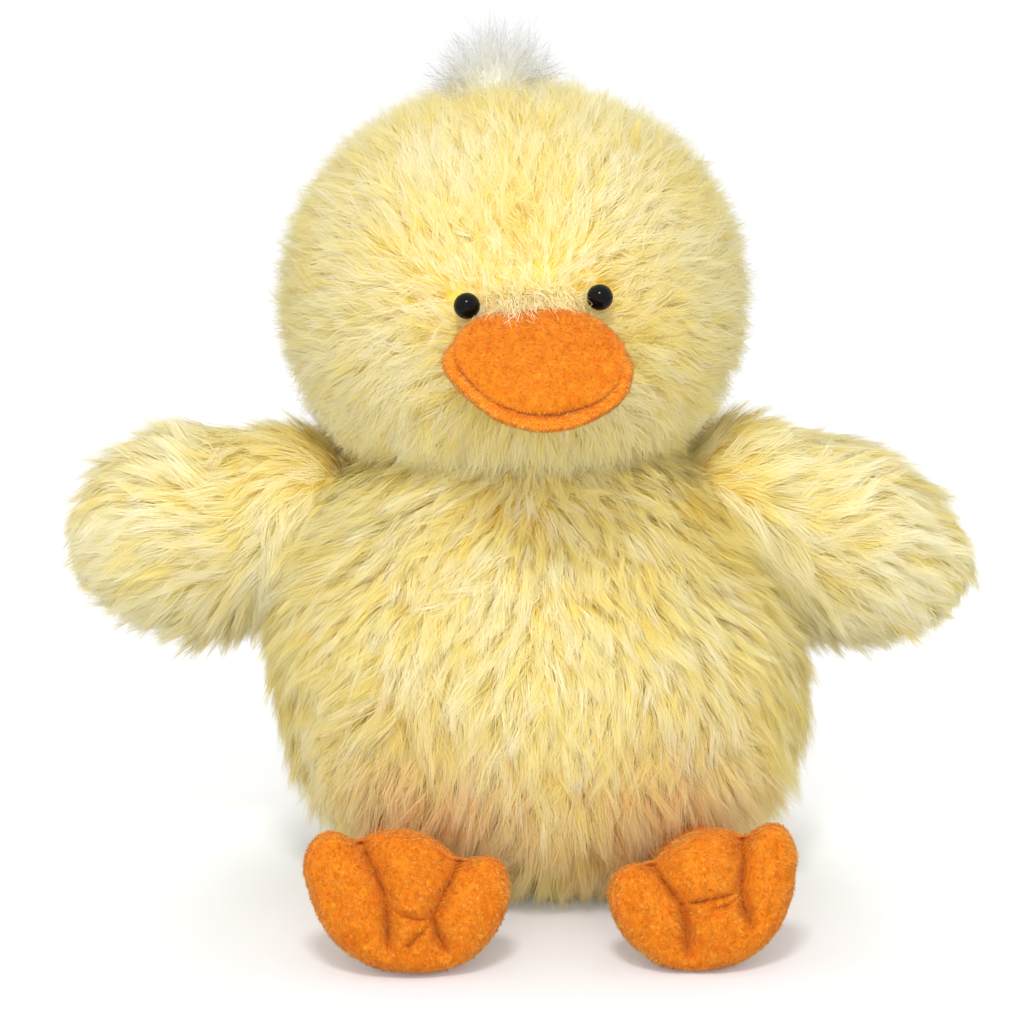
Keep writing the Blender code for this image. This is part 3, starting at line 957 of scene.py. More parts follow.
@dataclass
class FurredForm:
    """A stuffed form with its backing cloth and its fur."""

    name: str
    body: str
    coat: Coat
    stands_for: tuple[str, ...]
    seed: int
    fill: float = 0.8
    segments: int = 72
    rings: int = 48

    def place(self, units: Array) -> Array:
        """Where the backing's points go."""
        raise NotImplementedError

    def grows(self, roots: Array, normals: Array) -> Array:
        """How likely a hair is to grow at each root."""
        return np.ones(len(roots))

    def flow(self, roots: Array, normals: Array) -> Array:
        """Which way the hair is combed at each root."""
        raise NotImplementedError

    def reach(self, roots: Array) -> Array:
        """The length of hair at each root, as a share of the coat's."""
        return np.ones(len(roots))

    def rise(self, roots: Array, normals: Array) -> Array:
        """How upright the hair stands at each root, as a share of the coat's."""
        return np.ones(len(roots))

    def hang(self, roots: Array) -> Array:
        """How much the hair droops at each root, as a share of the coat's."""
        return np.ones(len(roots))

    def shade(self, roots: Array) -> Array:
        """The shade of hair at each root."""
        return 0.42 + 0.10 * ripples(roots, 0.05, self.seed)

    def panels(self, roots: Array) -> dict[str, Array]:
        """The fur's panels by name, each a choice of roots."""
        return {"fur": np.ones(len(roots), bool)}

    def build(self) -> None:
        """Builds the backing and every panel of fur."""
        form = sphere_form(self.segments, self.rings, self.place)
        backing = form.mesh(self.name + "_backing")
        BACKING.dress(backing)
        seated(backing, self.body, stands_for=self.stands_for)
        rng = np.random.default_rng(self.seed)
        roots, normals = form.scatter(self.coat.per_area, rng)
        kept = rng.random(len(roots)) < self.grows(roots, normals)
        roots, normals = roots[kept], normals[kept]
        flow = along_surface(self.flow(roots, normals), normals)
        lie = Lie(flow, self.reach(roots), self.rise(roots, normals), self.hang(roots), self.shade(roots))
        hairs = self.coat.grow(roots, normals, lie, self.seed)
        for panel, chosen in self.panels(roots).items():
            piece = hairs.part(chosen).mesh(f"{self.name}_{panel}")
            FUR.dress(piece)
            seated(piece, self.body)


NECK = Vector((-0.009, 0.0, 0.120))
FACE = Matrix.Translation((-0.009, -0.005, 0.207)) @ Matrix.Rotation(math.radians(3), 4, "Z")
SHOULDERS = {Side.LEFT: (0.081 - 0.0072, 0.002, 0.135), Side.RIGHT: (-0.081 - 0.0072, 0.002, 0.133)}


@dataclass
class Torso(FurredForm):
    """The pear-shaped body."""

    width: float = 0.190
    depth: float = 0.178
    belly_height: float = 0.078
    belly_rise: float = 0.072
    squash: float = 0.004
    lean: float = 0.009
    neck_radius: float = 0.060
    inset: float = 0.0055
    floor_gap: float = 0.002
    blend: float = 9.0
    fur_top: float = 0.160  # above this the head's seat is bare
    # how far round the middle of a wing's root the painted shade reaches
    shoulder_bare: float = 0.012  # how far round the middle of a wing's root no hair grows
    painted_shoulder_shade_reach: float = 0.030
    parting: float = 0.004  # how far the chest's parting stands to the duck's left
    painted_bounce_middle: tuple[float, float, float] = (0.042, -0.082, 0.034)  # where the painted orange bounce light from the feet is strongest, on the belly
    # how far the painted orange bounce light from the feet reaches on the belly
    painted_bounce_reach: tuple[float, float, float] = (0.038, 0.04, 0.030)

    def lean_at(self, height: Array) -> Array:
        """How far the middle has moved to the duck's right at each height."""
        return 0.0018 + 0.002 * eased((0.06 - height) / 0.05) - self.lean * eased((height - 0.050) / 0.080)

    def place(self, units: Array) -> Array:
        """Where the backing's points go: a pear that runs smoothly into the round neck.

        Args:
            units: The unit sphere's points, one row each.

        Returns:
            Their places in metres, one row each.
        """
        above = units[:, 2] > 0
        half_height = np.where(above, self.belly_rise, self.belly_height + self.squash) - self.inset
        fullness = np.where(above, 2.1, 2.6)
        half_width, half_depth = self.width / 2 - self.inset, self.depth / 2 - self.inset
        pear = reach_to(units, half_width, half_depth, half_height, fullness)
        up = NECK.z - self.belly_height
        beyond = (self.neck_radius - self.inset) ** 2 - up**2 * (1 - units[:, 2] ** 2)
        neck = np.where(beyond > 0, up * units[:, 2] + np.sqrt(np.maximum(beyond, 0)), 0)
        joined = (pear**self.blend + neck**self.blend) ** (1 / self.blend)
        points = units * joined[:, None]
        points[:, 2] = np.maximum(points[:, 2] + self.belly_height, self.floor_gap)
        points[:, 0] += self.lean_at(points[:, 2])
        return points

    def grows(self, roots: Array, normals: Array) -> Array:
        """Hair grows all over but under the base, inside the head and behind the wings' roots.

        Args:
            roots: Where the hairs start, one row each.
            normals: The outward direction at each root. Not used.

        Returns:
            A chance from 0 to 1 for each root.
        """
        chance = np.ones(len(roots))
        chance[roots[:, 2] < self.floor_gap + 0.001] = 0
        chance[roots[:, 2] > self.fur_top] = 0
        for shoulder in SHOULDERS.values():
            chance[np.linalg.norm(roots - np.array(shoulder), axis=1) < self.shoulder_bare] = 0
        return chance

    def flow(self, roots: Array, normals: Array) -> Array:
        """Down from the neck, parted at the middle of the chest and swept to both sides.

        Args:
            roots: Where the hairs start, one row each.
            normals: The outward direction at each root. Not used.

        Returns:
            A direction for each root.
        """
        aside = (roots[:, 0] - self.lean_at(roots[:, 2]) - self.parting) / (self.width / 2)
        front = eased(-roots[:, 1] / 0.03)
        high = eased((roots[:, 2] - 0.030) / 0.10)
        sweep = np.tanh(aside * 2.2) * (0.16 + 0.50 * high) * front
        return np.stack([sweep, np.zeros(len(roots)), -np.ones(len(roots))], axis=1)

    def reach(self, roots: Array) -> Array:
        """Shorter near the base, so that the duck sits flat, and longer over the feet and by the shoulders.

        Args:
            roots: Where the hairs start, one row each.

        Returns:
            A share of the coat's length for each root.
        """
        front = 0.50 * eased((-roots[:, 1] - 0.02) / 0.03)
        low = 0.56 + front + (0.44 - front) * eased((roots[:, 2] - 0.004) / 0.03)
        return low + 0.45 * self.over_feet(roots) + 0.50 * self.by_shoulders(roots)

    def rise(self, roots: Array, normals: Array) -> Array:
        """Flatter near the base, and fuller over the feet and round the neck.

        Args:
            roots: Where the hairs start, one row each.
            normals: The outward direction at each root. Not used.

        Returns:
            A share of the coat's rise for each root.
        """
        base = 1 - eased((roots[:, 2] - 0.004) / 0.03)
        low = 1 + base * (1.3 * eased((-roots[:, 1] - 0.02) / 0.03) - 0.40)
        neck = eased((roots[:, 2] - 0.128) / 0.018)
        return low + 0.9 * self.over_feet(roots) + 0.25 * neck + 0.8 * self.by_shoulders(roots)

    @staticmethod
    def by_shoulders(roots: Array) -> Array:
        """How much each root is one of those between the head and a wing, from 0 to 1."""
        gap = (np.abs(roots[:, 0] + 0.007) - 0.060) / 0.018, (roots[:, 2] - 0.136) / 0.018
        return np.exp(-(gap[0] ** 2 + gap[1] ** 2))

    @staticmethod
    def over_feet(roots: Array) -> Array:
        """How much each root is one of those just above a foot, from 0 to 1."""
        gap = (np.abs(roots[:, [0]]) - 0.046) / 0.026, (roots[:, [2]] - 0.052) / 0.014
        return np.exp(-(gap[0] ** 2 + gap[1] ** 2))[:, 0] * (roots[:, 1] < -0.04)

    def shade(self, roots: Array) -> Array:
        """Paler on the belly; painted shade low down, at the neck and under the wings; painted orange bounce
        light above each foot.

        Args:
            roots: Where the hairs start, one row each.

        Returns:
            A shade from 0 to 1 for each root.
        """
        # painted shade: deeper low down, where the belly turns under, and at the neck under the chin
        shade = 0.42 + 0.08 * ripples(roots, 0.05, self.seed) + 0.07 * eased((roots[:, 2] - 0.07) / 0.04)
        shade -= 0.04 * eased((roots[:, 2] - 0.124) / 0.02)
        near = np.zeros(len(roots))
        for side, (aside, _, height) in SHOULDERS.items():
            gap = np.linalg.norm(roots - np.array([aside, -0.008, height]), axis=1)
            # painted shade round each wing's root, where the wing meets the body
            shade -= 0.16 * np.exp(-((gap / self.painted_shoulder_shade_reach) ** 2))
            middle = np.array(self.painted_bounce_middle) * (side.value, 1, 1)
            gap = (roots - middle) / np.array(self.painted_bounce_reach)
            near = np.maximum(near, np.exp(-np.sum(gap**2, axis=1)))
        # painted orange bounce light from the feet, on the fur just above them
        tinted = np.random.default_rng(self.seed + 9).random(len(roots)) < near * 1.35
        return np.where(tinted, 0.73 + 0.17 * near, np.clip(shade, 0.03, 0.64))

    def panels(self, roots: Array) -> dict[str, Array]:
        """The front, the flanks and the back, each in an upper and a lower panel on both sides.

        Args:
            roots: Where the hairs start, one row each.

        Returns:
            For each panel's name, which of the roots it holds.
        """
        turn = np.degrees(np.arctan2(roots[:, 0], -roots[:, 1]))
        high = roots[:, 2] > 0.078
        front = np.abs(turn) < 52
        back = np.abs(turn) > 120
        panels = {}
        for part, chosen in (("front", front), ("flank", ~front & ~back), ("back", back)):
            for side, here in (("left", turn > 0), ("right", turn <= 0)):
                panels[f"{side}_upper_{part}_fur"] = chosen & here & high
                panels[f"{side}_lower_{part}_fur"] = chosen & here & ~high
        return panels


@dataclass
class Head(FurredForm):
    """The round head."""

    width: float = 0.164
    depth: float = 0.152
    head_rise: float = 0.0735
    fall: float = 0.061
    inset: float = 0.0085
    crown: float = 0.0025  # how much less the crown is inset
    seat: float = 0.056  # how far round the neck's middle no hair grows
    bill_middle: float = -0.010  # its height on the face
    bill_bare: tuple[float, float] = (0.012, 0.008)
    eye_aside: float = 0.02175
    eye_shift: float = 0.001  # how far the pair sits towards the duck's right
    eye_rise: float = 0.0098
    eye_slant: float = 0.0014  # how much higher the left eye is than that, and how much lower the right
    eye_bare: float = 0.0034

    def place(self, units: Array) -> Array:
        """Where the backing's points go.

        Args:
            units: The unit sphere's points, one row each.

        Returns:
            Their places in metres, one row each.
        """
        above = units[:, 2] > 0
        half_height = np.where(above, self.head_rise + self.crown, self.fall) - self.inset
        fullness = np.where(above, 2.09, 2.4)
        half_width, half_depth = self.width / 2 - self.inset, self.depth / 2 - self.inset
        reach = reach_to(units, half_width, half_depth, half_height, fullness)
        return moved(units * reach[:, None], FACE)

    def local(self, roots: Array) -> Array:
        """Roots seen from the middle of the head."""
        return moved(roots, FACE.inverted())

    def grows(self, roots: Array, normals: Array) -> Array:
        """Hair grows all over but on the neck's seat, under the bill and behind the eyes.

        Args:
            roots: Where the hairs start, one row each.
            normals: The outward direction at each root. Not used.

        Returns:
            A chance from 0 to 1 for each root.
        """
        spot = self.local(roots)
        chance = np.ones(len(roots))
        chance[np.linalg.norm(roots - np.array(NECK), axis=1) < self.seat] = 0
        bill = np.hypot(spot[:, 0] / self.bill_bare[0], (spot[:, 2] - self.bill_middle) / self.bill_bare[1])
        chance[(bill < 1) & (spot[:, 1] < 0)] = 0
        for side in Side:
            chance[(self.eye_gap(spot, side) < self.eye_bare) & (spot[:, 1] < 0)] = 0
        return chance

    def eye_gap(self, spot: Array, side: Side) -> Array:
        """How far places on the face are from an eye's stem, seen from the front.

        Args:
            spot: The places seen from the middle of the head.
            side: Which eye.

        Returns:
            The distances in metres.
        """
        aside = spot[:, 0] - side.value * self.eye_aside + self.eye_shift
        up = spot[:, 2] - self.eye_rise - side.value * self.eye_slant
        return np.hypot(aside, up)

    def flow(self, roots: Array, normals: Array) -> Array:
        """Away from the bill on all sides, and more and more downwards behind.

        Args:
            roots: Where the hairs start, one row each.
            normals: The outward direction at each root. Not used.

        Returns:
            A direction for each root.
        """
        spot = self.local(roots)
        outward = unit(spot - np.array([0.0, -0.070, -0.008]))
        behind = eased((spot[:, 1] + 0.02) / 0.08)
        low = eased(-spot[:, 2] / 0.03)
        down = np.zeros_like(outward)
        down[:, 2] = -1
        return outward * (1 - 0.7 * behind)[:, None] + down * (0.12 + 0.75 * behind + 0.35 * low)[:, None]

    def reach(self, roots: Array) -> Array:
        """Short above and behind the bill and round the eyes, and long on the cheeks and chin.

        Args:
            roots: Where the hairs start, one row each.

        Returns:
            A share of the coat's length for each root.
        """
        spot = self.local(roots)
        bill = np.hypot(spot[:, 0] / 0.026, (spot[:, 2] - self.bill_middle) / 0.017)
        brow = np.exp(-(((spot[:, 0]) / 0.030) ** 2 + ((spot[:, 2] - 0.014) / 0.016) ** 2)) * (spot[:, 1] < 0)
        chin = eased((-spot[:, 2] - 0.015) / 0.03)
        length = 1 - 0.36 * brow + chin * (0.50 + 0.22 * ripples(roots, 0.016, self.seed + 3))
        length *= np.where(spot[:, 1] < 0, 0.62 + 0.38 * eased((bill - 0.70) / 0.3), 1)
        for side in Side:
            length -= 0.26 * np.exp(-((self.eye_gap(spot, side) / 0.009) ** 2)) * (spot[:, 1] < 0)
        return np.clip(length, 0.3, 1.7)

    def rise(self, roots: Array, normals: Array) -> Array:
        """More upright on the crown."""
        spot = self.local(roots)
        return 1.0 + 0.15 * eased(spot[:, 2] / 0.06) - 0.25 * eased((-spot[:, 2] - 0.01) / 0.03)

    def hang(self, roots: Array) -> Array:
        """Drooping at the chin."""
        return 1.0 + 3.0 * eased((-self.local(roots)[:, 2] - 0.02) / 0.02)

    def shade(self, roots: Array) -> Array:
        """Painted shade, deeper towards the jaw.

        Args:
            roots: Where the hairs start, one row each.

        Returns:
            A shade from 0 to 1 for each root.
        """
        spot = self.local(roots)
        brow = np.exp(-(((spot[:, 0]) / 0.026) ** 2 + ((spot[:, 2] - 0.016) / 0.014) ** 2)) * (spot[:, 1] < 0)
        shade = 0.49 + 0.08 * ripples(roots, 0.045, self.seed) + 0.10 * brow
        # painted shade towards the jaw
        return np.minimum(shade - 0.10 * eased((-spot[:, 2] - 0.035) / 0.02), 0.64)

    def panels(self, roots: Array) -> dict[str, Array]:
        """The face, the crown, the cheeks and the nape, each in a panel on both sides.

        Args:
            roots: Where the hairs start, one row each.

        Returns:
            For each panel's name, which of the roots it holds.
        """
        spot = self.local(roots)
        crown = spot[:, 2] > 0.040
        turn = np.degrees(np.arctan2(spot[:, 0], -spot[:, 1]))
        face = ~crown & (np.abs(turn) < 48)
        cheek = ~crown & ~face & (np.abs(turn) < 125)
        nape = ~crown & ~face & ~cheek
        panels = {}
        for part, chosen in (("face", face), ("crown", crown), ("cheek", cheek), ("nape", nape)):
            panels[f"left_{part}_fur"] = chosen & (turn > 0)
            panels[f"right_{part}_fur"] = chosen & (turn <= 0)
        return panels


@dataclass
class Wing(FurredForm):
    """A wing: a round root and a paddle."""

    side: Side = Side.LEFT
    root_radius: float = 0.026
    reach_out: float = 0.085
    droop: float = 14.0
    inset: float = 0.0055
    tip_inset: float = 0.003
    sag: float = 0.0  # how much lower the tip hangs
    root_inset: float = 0.0030
    crest: float = 0.0070  # how much higher the paddle's top stands than the root's

    def matrix(self) -> Matrix:
        """The centre of the root, with +X out along the wing."""
        handed = Matrix.Translation(SHOULDERS[self.side]) @ Matrix.Diagonal((self.side.value, 1, 1, 1))
        return handed @ Matrix.Rotation(math.radians(self.droop), 4, "Y")

    def place(self, units: Array) -> Array:
        """Where the backing's points go: a ball at the root, then a paddle.

        Args:
            units: The unit sphere's points, one row each.

        Returns:
            Their places in metres, one row each.
        """
        flat = np.linalg.norm(units[:, :2], axis=1)
        around = units[:, :2] / np.maximum(flat, 1e-9)[:, None]
        root = self.root_radius - self.root_inset
        out = np.clip(units[:, 2], 0, 1) ** 2.0
        swell = eased((out - 0.05) / 0.50)
        ring = np.sqrt(np.maximum(1 - out**2, 0))
        length = self.reach_out - self.inset - self.tip_inset
        along = np.where(units[:, 2] > 0, out * length, root * units[:, 2])
        ball = np.where(units[:, 2] > 0, np.sqrt(np.maximum(root**2 - along**2, 0)), root * flat)
        above = 0.0290 + self.crest * swell - self.inset
        below = 0.030 + 0.018 * swell - self.inset
        tall = np.maximum(ball, np.where(around[:, 0] > 0, above, below) * ring * (units[:, 2] > 0))
        thick = np.maximum(ball, (0.026 + 0.010 * swell - self.inset) * ring * (units[:, 2] > 0))
        sag = self.sag * np.clip(along / self.reach_out, 0, 1) ** 2
        local = np.stack([along, thick * around[:, 1], tall * around[:, 0] - sag], axis=1)
        return moved(local, self.matrix())

    def grows(self, roots: Array, normals: Array) -> Array:
        """Hair grows where the wing can be seen, so not deep in the shoulder."""
        spot = moved(roots, self.matrix().inverted())
        return (spot[:, 0] > -0.023).astype(float)

    def flow(self, roots: Array, normals: Array) -> Array:
        """Out along the wing and a little down, and down round the root.

        Args:
            roots: Where the hairs start, one row each.
            normals: The outward direction at each root.

        Returns:
            A direction for each root.
        """
        spot = moved(roots, self.matrix().inverted())
        inner = eased((0.030 - spot[:, 0]) / 0.035)
        lean = 0.10 + 0.32 * eased(-spot[:, 2] / 0.03) + 0.90 * eased((spot[:, 0] - 0.050) / 0.030)
        lean += 0.95 * inner * np.abs(normals[:, 1]) * eased((0.016 - spot[:, 2]) / 0.03)
        return np.stack([np.full(len(roots), float(self.side.value)), np.zeros(len(roots)), -lean], axis=1)

    def reach(self, roots: Array) -> Array:
        """Longest under the root and shorter at the tip.

        Args:
            roots: Where the hairs start, one row each.

        Returns:
            A share of the coat's length for each root.
        """
        spot = moved(roots, self.matrix().inverted())
        under = eased((0.035 - spot[:, 0]) / 0.03) * eased((0.008 - spot[:, 2]) / 0.02)
        return 1.0 + 0.45 * under - 0.30 * eased((spot[:, 0] - 0.05) / 0.03)

    def rise(self, roots: Array, normals: Array) -> Array:
        """Flatter towards the tip and on top of the root.

        Args:
            roots: Where the hairs start, one row each.
            normals: The outward direction at each root. Not used.

        Returns:
            A share of the coat's rise for each root.
        """
        spot = moved(roots, self.matrix().inverted())
        top = eased((0.032 - spot[:, 0]) / 0.02) * eased(spot[:, 2] / 0.015)
        return 1.0 - 0.3 * eased((spot[:, 0] - 0.04) / 0.03) - 0.40 * top

    def hang(self, roots: Array) -> Array:
        """Drooping under the root."""
        spot = moved(roots, self.matrix().inverted())
        return 1.0 + 7.0 * eased((0.035 - spot[:, 0]) / 0.03) * eased((0.010 - spot[:, 2]) / 0.02)

    def shade(self, roots: Array) -> Array:
        """Painted shade, deeper at the root.

        Args:
            roots: Where the hairs start, one row each.

        Returns:
            A shade from 0 to 1 for each root.
        """
        spot = moved(roots, self.matrix().inverted())
        # painted shade at the wing's root, less on its top
        inner = eased((0.006 - spot[:, 0]) / 0.024) * (1 - 0.6 * eased(spot[:, 2] / 0.012))
        shade = 0.62 + 0.08 * ripples(roots, 0.045, self.seed) - 0.22 * inner
        return np.clip(shade, 0.03, 0.64)

    def panels(self, roots: Array) -> dict[str, Array]:
        """The front and the back of the wing."""
        front = roots[:, 1] < 0.002
        return {"front_fur": front, "back_fur": ~front}


@dataclass
class Tail(FurredForm):
    """The small tail."""

    width: float = 0.040
    thickness: float = 0.026
    length: float = 0.036
    root: tuple[float, float, float] = (-0.0025, 0.082, 0.060)
    tilt: float = 30.0

    def place(self, units: Array) -> Array:
        """Where the backing's points go: a stub that narrows backwards and points up.

        Args:
            units: The unit sphere's points, one row each.

        Returns:
            Their places in metres, one row each.
        """
        frame_at = Matrix.Translation(self.root) @ Matrix.Rotation(math.radians(self.tilt), 4, "X")
        narrow = 1 - 0.35 * np.maximum(units[:, 2], 0)
        aside, up = units[:, 0] * self.width / 2 * narrow, units[:, 1] * self.thickness / 2 * narrow
        return moved(np.stack([aside, units[:, 2] * self.length, up], axis=1), frame_at)

    def grows(self, roots: Array, normals: Array) -> Array:
        """Hair grows outside the torso."""
        return (roots[:, 1] > self.root[1]).astype(float)

    def flow(self, roots: Array, normals: Array) -> Array:
        """Backwards, and a little up."""
        return np.tile(np.array([0.0, 1.0, 0.4]), (len(roots), 1))

    def reach(self, roots: Array) -> Array:
        """A little shorter than on the torso."""
        return np.full(len(roots), 0.92)


@dataclass
class Tuft:
    """The white wisps on the crown."""

    coat: Coat
    width: float = 0.021
    depth: float = 0.017
    height: float = 0.0105
    sunk: float = 0.010  # how deep the mound goes into the head
    middle: tuple[float, float, float] = (-0.0056, 0.005, 0.0715)
    bare_below: float = 0.068
    seed: int = 53

    def place(self, units: Array) -> Array:
        """Where the mound's points go.

        Args:
            units: The unit sphere's points, one row each.

        Returns:
            Their places in metres, one row each.
        """
        tall = np.where(units[:, 2] > 0, self.height, self.sunk)
        level = np.ones(len(units))
        local = units * np.stack([level * self.width / 2, level * self.depth / 2, tall], axis=1)
        return moved(local + np.array(self.middle), FACE)

    def build(self) -> None:
        """Builds the mound and the wisps."""
        form = sphere_form(32, 20, self.place)
        mound = form.mesh("tuft_mound")
        TUFT_MOUND.dress(mound)
        seated(mound, "head", stands_for=("crest_tuft",))
        rng = np.random.default_rng(self.seed)
        roots, normals = form.scatter(self.coat.per_area, rng)
        kept = roots[:, 2] > FACE.translation.z + self.bare_below
        roots, normals = roots[kept], normals[kept]
        up = np.zeros_like(normals)
        up[:, 2] = 1
        flow = along_surface(up + normals + 0.6 * rng.normal(size=normals.shape), normals)
        ones = np.ones(len(roots))
        shade = np.clip(0.5 + 0.2 * ripples(roots, 0.01, self.seed), 0, 1)
        lie = Lie(flow, ones, ones, ones, shade)
        wisps = self.coat.grow(roots, normals, lie, self.seed).mesh("tuft_wisps")
        TUFT.dress(wisps)
        seated(wisps, "head")


@dataclass
class Brow:
    """Curled wisps that hang from the brow over the bill's upper edge."""

    coat: Coat
    count: int = 1500
    half_width: float = 0.0135
    middle: float = 0.0095
    radii: tuple[float, float, float] = (0.076, 0.0705, 0.067)  # the backing's, under the brow
    seed: int = 59

    def build(self) -> None:
        """Builds the wisps."""
        rng = np.random.default_rng(self.seed)
        aside = self.half_width * np.clip(rng.normal(size=self.count) * 0.5, -1, 1) - 0.002
        up = self.middle + 0.0024 * np.clip(rng.normal(size=self.count), -1.2, 2.4)
        wide, deep, tall = self.radii
        forward = -deep * np.sqrt(1 - (aside / wide) ** 2 - (up / tall) ** 2)
        normals = unit(np.stack([aside / wide**2, forward / deep**2, up / tall**2], axis=1))
        roots = moved(np.stack([aside, forward, up], axis=1), FACE)
        astray = 0.5 * rng.normal(size=self.count)
        flow = along_surface(np.stack([astray, np.zeros(self.count), 0.1 - up * 20], axis=1), normals)
        ones = np.ones(self.count)
        shade = np.where(rng.random(self.count) < 0.4 - 60 * (up - self.middle), 0.76, 0.58)
        hang = 0.5 + 1.4 * rng.random(self.count)
        lie = Lie(flow, ones, ones, hang, shade)
        wisps = self.coat.grow(roots, normals, lie, self.seed).mesh("brow_wisps")
        FUR.dress(wisps)
        seated(wisps, "head")


@dataclass
class Velour:
    """A padded velour form with its nap."""

    name: str
    body: str
    stands_for: tuple[str, ...]
    coat: Coat
    seed: int
    fill: float = 0.75
    segments: int = 200
    rings: int = 110
    nap_sunk: float = 0.0002

    def place(self, units: Array) -> Array:
        """Where the form's points go."""
        raise NotImplementedError

    def napped(self, roots: Array) -> Array:
        """Where nap is worth growing."""
        return np.ones(len(roots), bool)

    def painted_shade_and_sheen(self, roots: Array) -> Array:
        """Painted shade and sheen: how much deeper the nap's colour is at each root."""
        return np.zeros(len(roots))

    def build(self) -> None:
        """Builds the form and its nap."""
        form = sphere_form(self.segments, self.rings, self.place)
        pad = form.mesh(self.name)
        VELOUR.dress(pad)
        seated(pad, self.body, stands_for=self.stands_for)
        rng = np.random.default_rng(self.seed)
        roots, normals = form.scatter(self.coat.per_area, rng)
        kept = self.napped(roots)
        roots, normals = roots[kept] - normals[kept] * self.nap_sunk, normals[kept]
        turn = 1.1 * ripples(roots, 0.016, self.seed) + 0.8 * ripples(roots, 0.005, self.seed + 1)
        ones = np.ones(len(roots))
        flow = along_surface(np.stack([np.sin(turn), -0.3 * ones, -np.cos(turn)], axis=1), normals)
        # painted light: paler where the nap faces up; painted shade and sheen come off too
        shade = 0.44 + 0.06 * ripples(roots, 0.010, self.seed + 2) + 0.14 * normals[:, 2] - self.painted_shade_and_sheen(roots)
        lie = Lie(flow, ones, ones, ones, shade)
        nap = self.coat.grow(roots, normals, lie, self.seed).mesh(self.name + "_nap")
        NAP.dress(nap)
        seated(nap, self.body)


@dataclass
class BillPad(Velour):
    """One of the bill's two pads, in a frame with +X across, +Y up and +Z forwards and a little up."""

    outline: Outline = field(default_factory=lambda: Outline(()))
    dome: float = 0.0080
    fullness: float = 0.75
    slope: float = 0.65  # how much the lower edge stands out
    forward: float = -0.0026
    depth: float = 0.022  # into the head
    centre: tuple[float, float, float] = (-0.0056, -0.1000, 0.2008)
    pitch: float = 12.0
    yaw: float = -2.8
    grown: float = 0.0004
    rim: float = 0.88  # where the painted sheen, a paler rim, starts, as a share of the way out
    nap_from: float = -0.078  # behind this the pad is inside the fur

    def matrix(self) -> Matrix:
        """The middle of the bill, facing forwards.

        Returns:
            The place and the turn.
        """
        turn = Matrix.Rotation(math.radians(self.yaw), 4, "Z")
        turn = turn @ Matrix.Rotation(math.radians(90 - self.pitch), 4, "X")
        return Matrix.Translation(self.centre) @ turn

    def relief(self, inwards: Array, angle: Array, rise: Array) -> Array:
        """How high the front stands over its sloping plane.

        Args:
            inwards: How far inside the outline each point is. Not used.
            angle: Its direction from the middle. Not used.
            rise: 0 at the edge and 1 in the middle.

        Returns:
            The heights.
        """
        return self.dome * rise**self.fullness

    def place(self, units: Array) -> Array:
        """Where the pad's points go.

        Args:
            units: The unit sphere's points, one row each.

        Returns:
            Their places in metres, one row each.
        """
        angle = np.arctan2(units[:, 1], units[:, 0])
        share = np.hypot(units[:, 0], units[:, 1])
        edge = self.outline.radius(angle) + self.grown
        flat = np.stack([np.cos(angle), np.sin(angle)], axis=1) * (share * edge)[:, None]
        plane = self.forward - self.slope * flat[:, 1]
        front = self.relief((1 - share) * edge, angle, np.clip(units[:, 2], 0, 1))
        back = -(self.depth + plane - self.forward) * np.clip(-units[:, 2], 0, 1) ** 0.8
        away = plane + np.where(units[:, 2] > 0, front, back)
        return moved(np.stack([flat[:, 0], flat[:, 1], away], axis=1), self.matrix())

    def napped(self, roots: Array) -> Array:
        """Nap grows in front of the face."""
        return roots[:, 1] < self.nap_from

    def painted_shade_and_sheen(self, roots: Array) -> Array:
        """A painted sheen, paler on the rim.

        Args:
            roots: Where the hairs start, one row each.

        Returns:
            What comes off each root's shade.
        """
        flat = moved(roots, self.matrix().inverted())
        share = np.hypot(flat[:, 0], flat[:, 1]) / self.outline.radius(np.arctan2(flat[:, 1], flat[:, 0]))
        return -0.24 * eased((share - self.rim) / 0.10)


@dataclass
class BillLip(BillPad):
    """The lower pad, whose rim is a roll round the upper one."""

    roll: float = 0.0042
    roll_width: float = 0.0056
    grown: float = 0.0
    # where the lip's painted sheen starts, as a share of the way out
    rim: float = 0.72

    def relief(self, inwards: Array, angle: Array, rise: Array) -> Array:
        """A round roll along the edge, with a seam near its outer side at the bottom.

        Args:
            inwards: How far inside the outline each point is.
            angle: Its direction from the middle.
            rise: 0 at the edge and 1 in the middle. Not used.

        Returns:
            The heights in metres.
        """
        place = np.clip(inwards / self.roll_width, 0, 1)
        roll = self.roll * np.sqrt(np.clip(1 - (2 * place - 1) ** 2, 0, 1))
        bottom = np.exp(-(((angle + math.pi / 2 - 0.1) / 0.75) ** 2))
        seam = 0.0006 * bottom * np.exp(-(((inwards - 0.0017) / 0.0005) ** 2))
        return roll - seam


